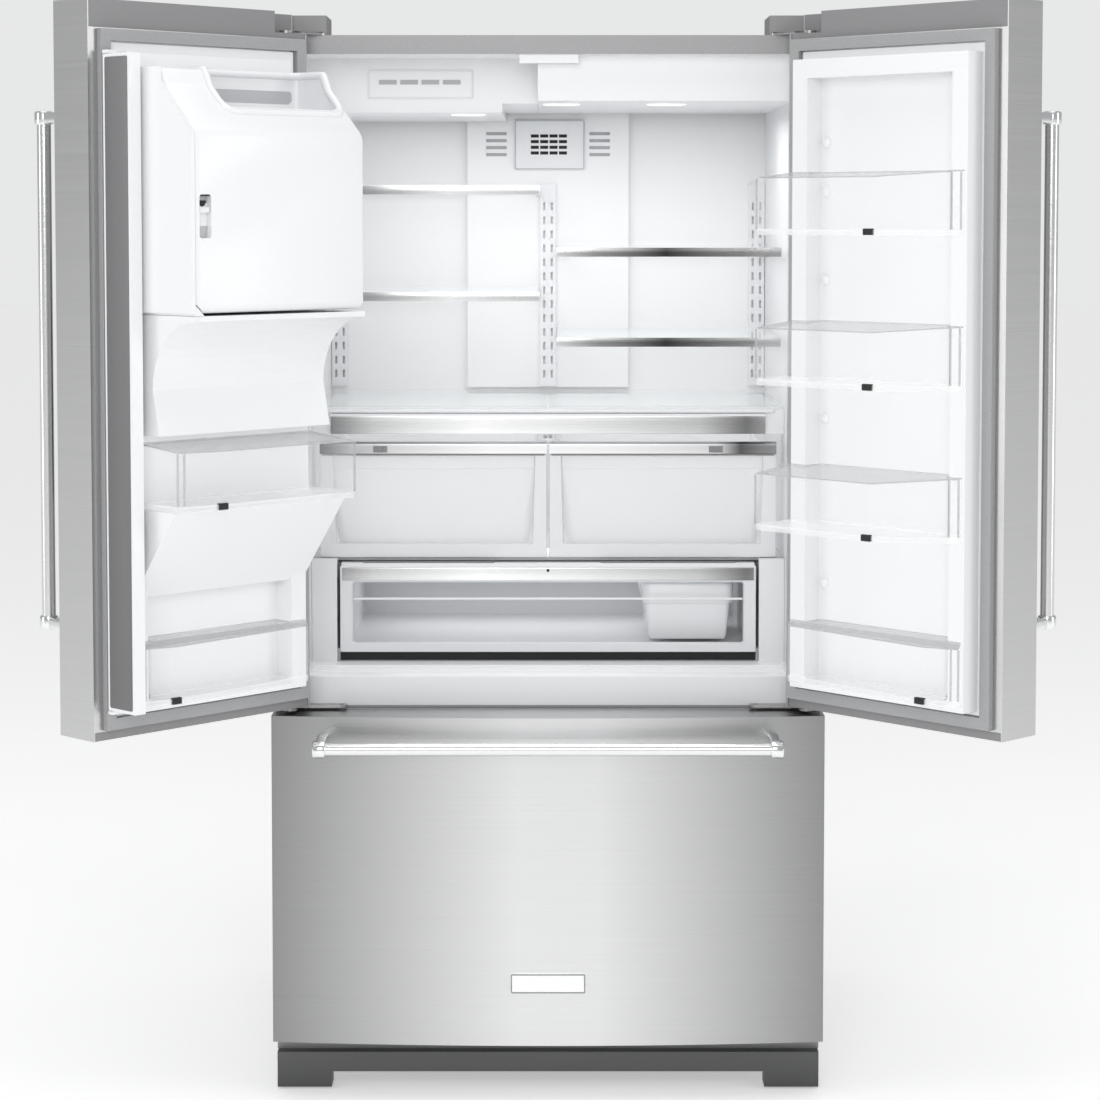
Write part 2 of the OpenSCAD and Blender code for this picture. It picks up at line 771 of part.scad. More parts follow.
module left_door_liner() color([0.95, 0.955, 0.96]) on_left_door() {
  difference() {
    union() {
      door_liner_body();
      // wedge below the middle bin, and the back of the dispenser above it
      side_extrude(ice_x0, ice_x1) polygon([
        [4, mid_bin_z0 - wedge_h], [33, mid_bin_z0 - wedge_h + 5], [136, mid_bin_z0 - 2],
        [niche_back, mid_bin_z0 - 2], [niche_back, mid_bin_z0 + bin_h + 12],
        [100, mid_bin_z0 + bin_h + 12],
        each hollow,
        [ice_reach - 5, ice_z0 - 4], [4, ice_z0 - 4]
      ]);
      // fixed wall beside the ice bin
      side_extrude(ice_x1 + 1, ice_x1 + 8) ice_profile(0);
      block([ice_x1 + 1, 0, ice_z0 - 4], [ice_x1 + 8, ice_y0, ice_z1]);
      // brackets and pins of the flipper mullion
      for (z = [flip_z0 - 6, flip_z1 + 1]) {
        block([dyke_x1 - 4, flip_y - 5, z], [flip_x + 6, flip_y + 6, z + 5]);
      }
      rod_z(flip_x, flip_y, flip_z0 - 1, flip_z0 + 9, flip_pin_d);
      rod_z(flip_x, flip_y, flip_z1 - 9, flip_z1 + 1, flip_pin_d);
    }
    disp_cut(0);
    block([disp_x0, -front_mid - 5, disp_z0], [disp_x0 + disp_w, -door_t / 2, disp_z1]);
    // room for the ice bin
    block([ice_x0 - eps, ice_y0 - 2, ice_z0 - 3], [ice_x1 + 1, ice_reach, ceiling_z]);
  }
}

module left_door_caps() color([0.56, 0.56, 0.57]) on_left_door() door_caps();

module left_door_gasket() color([0.62, 0.62, 0.63]) on_left_door() door_gasket();

module left_door_handle() color([0.8, 0.8, 0.81]) on_left_door() door_handle();

module dispenser_housing() color([0.16, 0.16, 0.17]) on_left_door() {
  x1 = disp_x0 + disp_w;
  difference() {
    union() {
      face_slice(disp_x0, x1, disp_z0, niche_z1, half_w, 6, proud);
      block([disp_x0, -door_t - 12, disp_z0], [x1, niche_y1 + liner_t, niche_z1]);
    }
    block(
      [disp_x0 + niche_in, -front_mid - 5, disp_z0 + niche_in],
      [x1 - niche_in, niche_y1, niche_z1 - 6]
    );
  }
  // lugs that hold the paddle's pin
  difference() {
    for (x = [disp_mid - paddle_w / 2 - 8, disp_mid + paddle_w / 2 + 2]) {
      block([x, paddle_y - 7, paddle_pin_z - 7], [x + 6, niche_y1, paddle_pin_z + 7]);
    }
    rod_x(disp_x0, x1, paddle_y, paddle_pin_z, flip_pin_d + 2 * run_gap);
  }
  // chute that the ice drops through
  rod_z(disp_mid, -30, niche_z1 - 34, niche_z1 - 6, 44);
}

module dispenser_panel() color([0.05, 0.05, 0.06]) on_left_door() {
  face_slice(disp_x0, disp_x0 + disp_w, niche_z1, disp_z1, half_w, 6, proud);
  block([disp_x0 + 4, -door_t - 12, niche_z1], [disp_x0 + disp_w - 4, -door_t / 2, disp_z1 - 4]);
}

module dispenser_paddle() color([0.3, 0.3, 0.31]) on_left_door() {
  half = paddle_w / 2;
  block(
    [disp_mid - half, paddle_y - paddle_t / 2, paddle_pin_z - paddle_h],
    [disp_mid + half, paddle_y + paddle_t / 2, paddle_pin_z]
  );
  rod_x(disp_mid - half - 8, disp_mid + half + 8, paddle_y, paddle_pin_z, flip_pin_d);
}

module drip_tray() color([0.45, 0.45, 0.46]) on_left_door() {
  x0 = disp_x0 + niche_in + slip;
  x1 = disp_x0 + disp_w - niche_in - slip;
  z0 = disp_z0 + niche_in + slip / 2;
  difference() {
    block([x0, -door_t - 4, z0], [x1, niche_y1 - 12, z0 + 10]);
    for (i = [0 : 10]) {
      translate([x0 + 10 + i * (x1 - x0 - 26) / 10, -door_t + 6, z0 + 3])
        cube([6, door_t + niche_y1 - 28, 8]);
    }
  }
}

module ice_bin() color([0.95, 0.955, 0.96]) on_left_door() difference() {
  side_extrude(ice_x0, ice_x1) ice_profile(0);
  side_extrude(ice_x0 + ice_wall, ice_x1 - ice_wall) ice_profile(ice_wall);
  // opening that the ice falls in through
  block([ice_x0 + 14, ice_y0 + 30, ice_z1 - 75], [ice_x0 + 252, ice_reach - 35, ice_z1 + eps]);
  // recess of the latch
  block([slot_x0, ice_reach - slot_d, slot_z0], [slot_x0 + slot_w, ice_reach + eps, slot_z0 + slot_h]);
}

module ice_bin_latch() color([0.2, 0.2, 0.21]) on_left_door() {
  x0 = slot_x0 + slip / 2;
  x1 = slot_x0 + slot_w - slip / 2;
  y0 = ice_reach - slot_d + slip;
  block([x0, y0, slot_z0 + 18], [x1, y0 + 3, slot_z0 + 52]);
  block([x0 + 2, y0 + 3, slot_z0 + 38], [x1 - 2, ice_reach - 2, slot_z0 + 46]);
}

module left_bin_middle() color([0.85, 0.9, 0.92, 0.5]) on_left_door()
  bin(mid_bin_z0, mid_bin_reach, mid_bin_vertex, mid_bin_reach, mid_bin_reach - 15, niche_back + 2,
    niche_back + 2);

module low_bin()
  bin(low_bin_z0, low_bin_reach, low_bin_vertex, low_bin_reach + 20, low_bin_reach, dyke_h + 1, 6);

module left_bin_bottom() color([0.85, 0.9, 0.92, 0.5]) on_left_door() low_bin();

// Drawn folded back: its sealing face looks towards the door's free edge.
module flipper_mullion() color([0.6, 0.6, 0.61]) on_left_door() difference() {
  block(
    [flip_x - flip_t + flip_front, flip_y - flip_near, flip_z0],
    [flip_x + flip_front, flip_y - flip_near + flip_w, flip_z1]
  );
  for (z = [flip_z0 - eps, flip_z1 - 10]) {
    rod_z(flip_x, flip_y, z, z + 10 + eps, flip_pin_d + 2 * run_gap);
  }
}

// ---------- right door ----------

module right_door_skin() color([0.74, 0.74, 0.75]) on_right_door() door_skin();

module right_door_liner() color([0.95, 0.955, 0.96]) on_right_door() door_liner_body();

module right_door_caps() color([0.56, 0.56, 0.57]) on_right_door() door_caps();

module right_door_gasket() color([0.62, 0.62, 0.63]) on_right_door() door_gasket();

module right_door_handle() color([0.8, 0.8, 0.81]) on_right_door() door_handle();

module upper_bin(drop) {
  bin(ceiling_z - drop, bin_reach, bin_vertex, bin_reach, dyke_h + 12, dyke_h + 1, 6);
}

module right_bin_top() color([0.85, 0.9, 0.92, 0.5]) on_right_door() upper_bin(295);

module right_bin_upper() color([0.85, 0.9, 0.92, 0.5]) on_right_door() upper_bin(532);

module right_bin_lower() color([0.85, 0.9, 0.92, 0.5]) on_right_door() upper_bin(763);

module right_bin_bottom() color([0.85, 0.9, 0.92, 0.5]) on_right_door() low_bin();

// ---------- freezer drawer ----------

// Freezer pieces are drawn from the cabinet's middle, y = 0 at the front's inner face.
module on_drawer() placed() translate([0, inner_y, 0]) children();

module drawer_plan(t) {
  intersection() {
    translate([0, bow_r - front_mid]) circle(r = bow_r - t, $fn = fn_bow);
    translate([t - half_w, -front_mid - eps]) square([cab_w - 2 * t, front_mid + eps]);
  }
}

module freezer_front() color([0.74, 0.74, 0.75]) on_drawer() difference() {
  translate([0, 0, drawer_z0]) linear_extrude(height = drawer_h) drawer_plan(0);
  translate([0, 0, drawer_z0 + skin_t]) linear_extrude(height = drawer_h - 2 * skin_t) union() {
    drawer_plan(skin_t);
    translate([skin_t - half_w, -eps]) square([cab_w - 2 * skin_t, 2 * eps]);
  }
}

module freezer_front_liner() color([0.93, 0.935, 0.94]) on_drawer() {
  translate([0, 0, drawer_z0 + skin_t]) linear_extrude(height = drawer_h - 2 * skin_t)
    drawer_plan(skin_t);
  block([-in_w + 14, 0, fz_floor + 8], [in_w - 14, 8, fz_top - 8]);
}

module freezer_gasket() color([0.62, 0.62, 0.63]) on_drawer()
  ring(seal_x0 - half_w, half_w - seal_x0, drawer_z0 + 4, drawer_z1 - 4, seal_w, 0, seal_t);

module freezer_handle() color([0.8, 0.8, 0.81]) on_drawer() difference() {
  translate([-drawer_bar_len / 2, -front_mid - bar_off, drawer_bar_z])
    handle_bar(drawer_bar_len, bar_off + bow);
  translate([0, bow_r - front_mid, drawer_z0]) cylinder(r = bow_r, h = drawer_h, $fn = fn_bow);
}

module badge_plate() color([0.82, 0.82, 0.83]) on_drawer()
  face_slice(-badge_w / 2, badge_w / 2, drawer_z0 + 88, drawer_z0 + 88 + badge_h, 0, 0, 3);

module freezer_slides() color([0.6, 0.6, 0.61]) placed() both_sides() {
  end_y = fz_step_y - 5;
  block([in_w - 12, inner_y, rail_z], [in_w - 2, end_y, rail_z + 30]);
  block([in_w - 12, end_y - 15, rail_z + 30], [in_w - 4, end_y, basket_z0 - slip]);
  block([in_w - 36, inner_y + 8, basket_z0 - 9], [in_w - 4, end_y, basket_z0 - slip]);
}

module freezer_bin() color([0.9, 0.92, 0.93]) placed() {
  tub([-fbin_half, 16, fbin_z0], [fbin_half, fbin_y1, fbin_z0 + fbin_h], 3);
  both_sides() block([fbin_half, 40, rail_z + 5], [in_w - 12, fbin_y1 - 40, rail_z + 25]);
}

module freezer_basket() color([0.88, 0.9, 0.92]) placed()
  tub([-in_w + 30, 25, basket_z0], [in_w - 30, basket_y1, basket_z0 + basket_h], 3);

// ---------- drawers of the fresh food compartment ----------

module crisper_body() {
  y0 = crisper_y;
  difference() {
    block([2, y0, crisper_z0], [crisper_half, y0 + 10, crisper_z1]);
    block([30, y0 - eps, crisper_z0 + 26], [crisper_half - 25, y0 + 10 + eps, crisper_z1 - 25]);
  }
  tub([14, y0 + 10, crisper_z0 + 2], [crisper_half - 12, back_y - 42, crisper_z1 - 16], tub_t);
}

module crisper_right() color([0.9, 0.91, 0.92]) placed() crisper_body();

module crisper_left() color([0.9, 0.91, 0.92]) placed() mirror([1, 0, 0]) crisper_body();

module humidity_slider() {
  x = crisper_half - 104;
  y = crisper_y;
  block([x - 12, y - 2.5, crisper_z1 - 18], [x + 12, y - 0.3, crisper_z1 - 7]);
  block([x - 3, y - 6, crisper_z1 - 18], [x + 3, y - 2.5, crisper_z1 - 7]);
}

module humidity_slider_right() color([0.35, 0.35, 0.36]) placed() humidity_slider();

module humidity_slider_left() color([0.35, 0.35, 0.36]) placed()
  mirror([1, 0, 0]) humidity_slider();

module pantry_drawer() color([0.92, 0.93, 0.94]) placed() {
  y0 = pantry_y;
  half = pantry_half;
  difference() {
    block([-half, y0, pantry_z0], [half, y0 + 12, pantry_z1]);
    block([-half + 26, y0 - eps, pantry_z0 + 22], [half - 26, y0 + 12 + eps, pantry_z1 - 36]);
  }
  tub([-half + 11, y0 + 12, pantry_z0 + 4], [half - 11, back_y - 52, pantry_z1 - 9], tub_t);
}

module pantry_tray() color([0.96, 0.96, 0.965]) placed() {
  x1 = pantry_half - 38;
  z0 = pantry_z0 + 18;
  tub([x1 - tray_w, pantry_y + 20, z0], [x1, pantry_y + 268, z0 + 98], 2);
}

// ---------- pieces drawn ----------

cabinet_shell();
back_panel();
insulation();
fridge_liner();
freezer_liner();
centre_rail();
air_duct_panel();
vent_grille();
ceiling_fascia();
ice_maker_housing();
shelf_ladders();
shelf_glass();
shelf_frames();
crisper_deck();
drawer_frame();
base_grille();
undercarriage();
rear_rollers();
compressor();
condenser();
condenser_fan();
door_hinges();
hinge_covers();
left_door_skin();
left_door_liner();
left_door_caps();
left_door_gasket();
left_door_handle();
dispenser_housing();
dispenser_panel();
dispenser_paddle();
drip_tray();
ice_bin();
ice_bin_latch();
left_bin_middle();
left_bin_bottom();
flipper_mullion();
right_door_skin();
right_door_liner();
right_door_caps();
right_door_gasket();
right_door_handle();
right_bin_top();
right_bin_upper();
right_bin_lower();
right_bin_bottom();
freezer_front();
freezer_front_liner();
freezer_gasket();
freezer_handle();
badge_plate();
freezer_slides();
freezer_bin();
freezer_basket();
crisper_left();
crisper_right();
humidity_slider_left();
humidity_slider_right();
pantry_drawer();
pantry_tray();
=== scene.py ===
import bpy, bmesh, json, math
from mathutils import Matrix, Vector


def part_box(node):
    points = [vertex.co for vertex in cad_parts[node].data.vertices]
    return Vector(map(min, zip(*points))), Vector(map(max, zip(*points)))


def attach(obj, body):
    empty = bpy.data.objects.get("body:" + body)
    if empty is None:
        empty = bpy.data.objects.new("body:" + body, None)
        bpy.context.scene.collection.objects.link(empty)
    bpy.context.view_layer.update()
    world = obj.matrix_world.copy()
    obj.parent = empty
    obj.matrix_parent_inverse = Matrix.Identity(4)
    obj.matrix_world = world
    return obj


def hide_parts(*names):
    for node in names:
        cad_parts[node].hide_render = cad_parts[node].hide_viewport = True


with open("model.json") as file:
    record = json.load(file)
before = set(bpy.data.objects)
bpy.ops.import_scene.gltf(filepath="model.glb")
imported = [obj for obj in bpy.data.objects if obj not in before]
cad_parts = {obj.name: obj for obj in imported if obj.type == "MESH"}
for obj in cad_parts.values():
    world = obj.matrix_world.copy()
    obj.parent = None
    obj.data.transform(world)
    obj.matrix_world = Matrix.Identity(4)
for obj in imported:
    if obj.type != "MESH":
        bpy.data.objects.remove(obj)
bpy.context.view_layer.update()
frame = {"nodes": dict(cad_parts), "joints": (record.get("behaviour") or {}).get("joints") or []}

# ---------------------------------------------------------------- camera
cam = bpy.data.cameras.new("camera")
cam.lens = 89.63
cam.sensor_width = 36
cam.shift_x = 0.0018
cam.shift_y = -0.16
camera = bpy.data.objects.new("camera", cam)
camera.location = (0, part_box("cabinet_shell")[0].y - 4.5125, 1.4524)
camera.rotation_euler = (math.pi / 2 - 0.0575, 0, 0)
bpy.context.scene.collection.objects.link(camera)
bpy.context.scene.camera = camera

# ---------------------------------------------------------------- places
MM = 0.001
NODES = frame["nodes"]
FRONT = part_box("cabinet_shell")[0].y
JOINTS = {j["name"]: j for j in frame["joints"]}
PIN = Vector(JOINTS["left_door_swing"]["pos_m"])
SWING = math.radians(-JOINTS["left_door_swing"]["range_deg"][0])
CA, SA = math.cos(SWING), math.sin(SWING)
DOOR_GAP = 12
PIN_X = (PIN.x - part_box("cabinet_shell")[0].x) / MM
PIN_BACK = (FRONT - PIN.y) / MM - DOOR_GAP


def cab(x, y, z):
    """Millimetres from the cabinet's middle, its front plane and the floor."""
    return Vector((x * MM, FRONT + y * MM, z * MM))


def left(x, y, z):
    """Millimetres on the left door: x from its hinge edge, y from its inner face."""
    dx, dy = (x - PIN_X) * MM, (y + PIN_BACK) * MM
    return Vector((PIN.x + dx * CA + dy * SA, PIN.y - dx * SA + dy * CA, z * MM))


def right(x, y, z):
    v = left(x, y, z)
    return Vector((-v.x, v.y, v.z))


def drawer(x, y, z):
    """Millimetres on the freezer drawer, y from the front's inner face."""
    return cab(x, y - DOOR_GAP, z)


# ---------------------------------------------------------------- materials
def material(name, colour, rough=0.4, metal=0.0, grain=90.0, stretch=(1, 1, 1), tint=0.02,
             rough_var=0.05, bump=0.05, alpha=1.0, edge_alpha=None, gradient=None, **sockets):
    m = bpy.data.materials.new(name)
    m.use_nodes = True
    nodes, links = m.node_tree.nodes, m.node_tree.links
    shader = nodes["Principled BSDF"]
    coord = nodes.new("ShaderNodeTexCoord")
    mapping = nodes.new("ShaderNodeMapping")
    mapping.inputs["Scale"].default_value = stretch
    links.new(coord.outputs["Object"], mapping.inputs["Vector"])
    noise = nodes.new("ShaderNodeTexNoise")
    noise.inputs["Scale"].default_value = grain
    noise.inputs["Detail"].default_value = 5
    links.new(mapping.outputs["Vector"], noise.inputs["Vector"])
    ramp = nodes.new("ShaderNodeValToRGB")
    ramp.color_ramp.elements[0].position = 0.3
    ramp.color_ramp.elements[1].position = 0.7
    ramp.color_ramp.elements[0].color = tuple(max(c * (1 - tint), 0) for c in colour) + (1,)
    ramp.color_ramp.elements[1].color = tuple(min(c * (1 + tint), 1) for c in colour) + (1,)
    links.new(noise.outputs["Fac"], ramp.inputs["Fac"])
    base = ramp.outputs["Color"]
    if gradient:
        # painted light and shade: the colour runs from one tone to the next along one axis of the object's own space,
        # standing in for the sheen, reflections and shade on the pieces that use it
        axis, stops = gradient
        split = nodes.new("ShaderNodeSeparateXYZ")
        links.new(coord.outputs["Object"], split.inputs["Vector"])
        span = nodes.new("ShaderNodeMapRange")
        span.inputs["From Min"].default_value = stops[0][0]
        span.inputs["From Max"].default_value = stops[-1][0]
        links.new(split.outputs["XYZ".index(axis)], span.inputs["Value"])
        tones = nodes.new("ShaderNodeValToRGB")
        width = stops[-1][0] - stops[0][0]
        elements = tones.color_ramp.elements
        elements[0].color = (stops[0][1],) * 3 + (1,)
        elements[1].color = (stops[-1][1],) * 3 + (1,)
        for at, tone in stops[1:-1]:
            elements.new((at - stops[0][0]) / width).color = (tone,) * 3 + (1,)
        links.new(span.outputs["Result"], tones.inputs["Fac"])
        mix = nodes.new("ShaderNodeMix")
        mix.data_type = "RGBA"
        mix.blend_type = "MULTIPLY"
        mix.inputs["Factor"].default_value = 1
        links.new(base, mix.inputs["A"])
        links.new(tones.outputs["Color"], mix.inputs["B"])
        base = mix.outputs["Result"]
    links.new(base, shader.inputs["Base Color"])
    span = nodes.new("ShaderNodeMapRange")
    span.inputs["To Min"].default_value = max(rough - rough_var, 0.02)
    span.inputs["To Max"].default_value = rough + rough_var
    links.new(noise.outputs["Fac"], span.inputs["Value"])
    links.new(span.outputs["Result"], shader.inputs["Roughness"])
    relief = nodes.new("ShaderNodeBump")
    relief.inputs["Strength"].default_value = bump
    relief.inputs["Distance"].default_value = 0.0006
    links.new(noise.outputs["Fac"], relief.inputs["Height"])
    links.new(relief.outputs["Normal"], shader.inputs["Normal"])
    shader.inputs["Metallic"].default_value = metal
    if edge_alpha is not None:
        facing = nodes.new("ShaderNodeLayerWeight")
        facing.inputs["Blend"].default_value = 0.35
        edge = nodes.new("ShaderNodeMapRange")
        edge.inputs["To Min"].default_value = alpha
        edge.inputs["To Max"].default_value = edge_alpha
        links.new(facing.outputs["Facing"], edge.inputs["Value"])
        links.new(edge.outputs["Result"], shader.inputs["Alpha"])
    else:
        shader.inputs["Alpha"].default_value = alpha
    if alpha < 1:
        m.surface_render_method = "BLENDED"
    for socket, value in sockets.items():
        shader.inputs[socket.replace("_", " ")].default_value = value
    return m


def steel(name, tone, rough=0.3, along="x", tint=0.05, **more):
    """Brushed steel: long fine scratches that run level, or upright."""
    stretch = (3, 3, 900) if along == "x" else (700, 700, 3)
    return material(name, (tone, tone * 1.002, tone * 1.006), rough, 1.0, grain=1.0, stretch=stretch,
                    tint=tint, rough_var=0.06, bump=0.08, **more)


def plastic(name, colour, rough=0.32, **more):
    return material(name, colour, rough, grain=more.pop("grain", 700), tint=more.pop("tint", 0.01),
                    bump=more.pop("bump", 0.035), **more)


M = {
    "casing": material("casing_paint", (0.30, 0.30, 0.305), 0.42, 0.35, grain=420, tint=0.05, bump=0.2),
    "front_edge": steel("front_edge_steel", 0.36, 0.34),
    "galvanised": material("galvanised_sheet", (0.48, 0.49, 0.5), 0.5, 0.8, grain=32, tint=0.06, bump=0.1),
    "foam": material("rigid_foam", (0.86, 0.76, 0.5), 0.9, grain=260, tint=0.12, bump=0.5),
    "liner": plastic("liner_white", (0.845, 0.853, 0.862), 0.3),
    "wall": plastic("wall_white", (0.86, 0.867, 0.875), 0.36),
    "soft_white": plastic("soft_white", (0.80, 0.81, 0.825), 0.4),
    "bin_white": plastic("bin_white", (0.85, 0.86, 0.875), 0.26),
    "shade_grey": plastic("niche_grey", (0.50, 0.51, 0.525), 0.45),
    "cap_grey": plastic("cap_grey", (0.25, 0.25, 0.255), 0.42, grain=500, bump=0.15),
    # painted shade: the flipper's grey is darker towards the bottom and lighter at the top
    "flipper": plastic("flipper_grey", (0.19, 0.19, 0.195), 0.4, grain=500, bump=0.12,
                       gradient=("Z", [(0.7, 0.75), (1.7, 1.0)])),
    "gasket": material("seal_rubber", (0.36, 0.362, 0.366), 0.62, grain=300, tint=0.05, bump=0.25),
    "steel": steel("door_steel", 0.58, 0.3, tint=0.025),
    # painted sheen: the drawer front's steel is brightest in the middle and darker towards both ends
    "drawer_steel": steel("drawer_steel", 0.66, 0.3, tint=0.03,
                          gradient=("X", [(-0.45, 0.4), (-0.3, 0.62), (-0.05, 1.0), (0.08, 1.0), (0.3, 0.66), (0.45, 0.42)])),
    "chrome": material("bar_chrome", (0.78, 0.785, 0.79), 0.16, 1.0, grain=60, stretch=(1, 1, 8), tint=0.03,
                       rough_var=0.04, bump=0.02),
    "bar": steel("bar_steel", 0.74, 0.2, tint=0.03),
    "zinc": material("zinc_plate", (0.42, 0.42, 0.425), 0.38, 0.9, grain=200, tint=0.1, bump=0.12),
    # painted shade: the base grille's grey is darker towards the floor and lighter at its top
    "grille": plastic("base_grey", (0.075, 0.076, 0.078), 0.5, grain=420, tint=0.1, bump=0.3,
                      gradient=("Z", [(0.0, 0.72), (0.062, 1.2)])),
    "dark": plastic("dark_plastic", (0.035, 0.035, 0.037), 0.45, grain=420, tint=0.12, bump=0.25),
    # black for dark plastic bits, and as painted shade in gaps, holes and behind vents
    "black": plastic("black_plastic_and_painted_shade", (0.008, 0.008, 0.009), 0.55, grain=300, tint=0.1, bump=0.2),
    "gloss": material("black_glass", (0.012, 0.012, 0.014), 0.06, grain=30, tint=0.2, rough_var=0.02,
                      bump=0.01, Coat_Weight=0.6),
    "rubber": material("roller_rubber", (0.05, 0.05, 0.05), 0.7, grain=380, tint=0.2, bump=0.4),
    "fan": plastic("fan_grey", (0.12, 0.12, 0.125), 0.5, bump=0.15),
    "fins": material("condenser_fins", (0.05, 0.05, 0.052), 0.5, 0.6, grain=220, tint=0.2, bump=0.3),
    "comp": material("compressor_enamel", (0.02, 0.02, 0.021), 0.3, 0.2, grain=150, tint=0.25, bump=0.15),
    "clear": material("clear_plastic", (0.86, 0.875, 0.885), 0.08, grain=40, tint=0.015, rough_var=0.03,
                      bump=0.01, alpha=0.015, edge_alpha=0.2, IOR=1.49),
    "clear_rim": material("clear_edge", (0.47, 0.48, 0.49), 0.12, grain=60, tint=0.04, bump=0.02,
                          alpha=0.5, IOR=1.49),
    "clear_base": material("frosted_base", (0.9, 0.905, 0.91), 0.4, grain=160, tint=0.02, bump=0.08,
                           alpha=0.4),
    "frosted": material("frosted_plastic", (0.88, 0.885, 0.89), 0.45, grain=160, tint=0.02, bump=0.08,
                        alpha=0.6, edge_alpha=0.9),
    "glass": material("shelf_glass", (0.78, 0.82, 0.82), 0.04, grain=14, tint=0.02, rough_var=0.015,
                      bump=0.005, alpha=0.22, edge_alpha=0.75, IOR=1.5),
    "window": material("crisper_window", (0.9, 0.905, 0.915), 0.22, grain=120, tint=0.015, bump=0.03,
                       alpha=0.22, edge_alpha=0.4),
    # painted reflections: the trims' steel runs light and dark along their length
    "left_trim": steel("left_shelf_trim", 0.85, 0.25, tint=0.03,
                       gradient=("X", [(-0.40, 0.3), (-0.30, 0.45), (-0.17, 0.9), (0.0, 0.62)])),
    "right_trim": steel("right_shelf_trim", 0.8, 0.25, tint=0.03,
                        gradient=("X", [(0.0, 0.85), (0.08, 0.35), (0.2, 0.05), (0.33, 0.3), (0.4, 0.6)])),
    "deck_trim": steel("deck_trim", 0.95, 0.28, tint=0.03,
                       gradient=("X", [(-0.38, 0.30), (-0.3, 0.62), (-0.12, 0.95), (0.05, 0.8),
                                       (0.26, 0.55), (0.34, 0.2), (0.38, 0.45)])),
    "pull_trim": steel("crisper_pull", 0.9, 0.3, tint=0.03,
                       gradient=("X", [(-0.39, 0.12), (-0.33, 0.6), (-0.1, 0.95), (0.1, 0.9),
                                       (0.29, 0.75), (0.33, 0.12), (0.39, 0.4)])),
    "light": plastic("lamp_lens", (0.9, 0.9, 0.9), 0.3, Emission_Color=(1, 1, 1, 1), Emission_Strength=0.5),
}

LOOKS = {
    "cabinet_shell": "casing", "back_panel": "galvanised", "insulation": "foam", "fridge_liner": "wall",
    "freezer_liner": "wall", "centre_rail": "liner", "air_duct_panel": "wall", "vent_grille": "soft_white",
    "ceiling_fascia": "liner", "ice_maker_housing": "liner", "shelf_ladders": "soft_white",
    "shelf_glass": "glass", "shelf_frames": "soft_white", "crisper_deck": "glass", "drawer_frame": "liner",
    "base_grille": "grille", "undercarriage": "zinc", "rear_rollers": "rubber", "compressor": "comp",
    "condenser": "fins", "condenser_fan": "fan", "door_hinges": "zinc", "hinge_covers": "cap_grey",
    "left_door_skin": "steel", "left_door_liner": "liner", "left_door_caps": "cap_grey",
    "left_door_gasket": "gasket", "left_door_handle": "bar", "dispenser_housing": "dark",
    "dispenser_panel": "gloss", "dispenser_paddle": "cap_grey", "drip_tray": "cap_grey",
    "ice_bin": "bin_white", "ice_bin_latch": "soft_white", "left_bin_middle": "clear", "left_bin_bottom": "clear",
    "flipper_mullion": "bin_white", "right_door_skin": "steel", "right_door_liner": "liner",
    "right_door_caps": "cap_grey", "right_door_gasket": "gasket", "right_door_handle": "bar",
    "right_bin_top": "clear", "right_bin_upper": "clear", "right_bin_lower": "clear",
    "right_bin_bottom": "clear", "freezer_front": "drawer_steel", "freezer_front_liner": "liner",
    "freezer_gasket": "gasket", "freezer_handle": "bar", "badge_plate": "chrome",
    "freezer_slides": "zinc", "freezer_bin": "frosted", "freezer_basket": "frosted",
    "crisper_left": "frosted", "crisper_right": "frosted", "humidity_slider_left": "cap_grey",
    "humidity_slider_right": "cap_grey", "pantry_drawer": "liner", "pantry_tray": "soft_white",
}

# edges of the CAD pieces that are rounded, in millimetres
ROUNDED = {
    "cabinet_shell": 1.0, "fridge_liner": 0, "ceiling_fascia": 4, "ice_maker_housing": 4, "air_duct_panel": 1.2,
    "vent_grille": 1.0, "left_door_liner": 5, "right_door_liner": 7, "shelf_ladders": 0.6, "shelf_glass": 0.8, "crisper_deck": 1.5, "base_grille": 1.5,
    "door_hinges": 1.0, "hinge_covers": 6, "left_door_caps": 1.5, "right_door_caps": 1.5, "flipper_mullion": 2.5,
    "dispenser_panel": 1.0, "dispenser_paddle": 1.5, "drip_tray": 0.8, "badge_plate": 0.8,
    "freezer_basket": 1.0, "humidity_slider_left": 0.6, "humidity_slider_right": 0.6, "centre_rail": 1.0,
    "compressor": 4, "condenser_fan": 0.5, "rear_rollers": 1.5, "undercarriage": 1.0,
}


# clear finishes: light passes their pieces freely, as it does through thin clear plastic
CLEAR = {"clear", "clear_rim", "clear_base", "window", "frosted", "glass"}


def let_light_through(obj, look):
    if look in CLEAR:
        obj.visible_shadow = False
        obj.visible_diffuse = False


def soften(obj, width, segments=3, angle=32):
    mod = obj.modifiers.new("rounded", "BEVEL")
    mod.width = width * MM
    mod.segments = segments
    mod.limit_method = "ANGLE"
    mod.angle_limit = math.radians(angle)
    mod.harden_normals = True
    mod.use_clamp_overlap = True


for name, node in NODES.items():
    node.data.materials.clear()
    node.data.materials.append(M[LOOKS[name]])
    node.data.shade_smooth()
    node.data.set_sharp_from_angle(angle=math.radians(30))
    if ROUNDED.get(name):
        soften(node, ROUNDED[name])
    let_light_through(node, LOOKS[name])


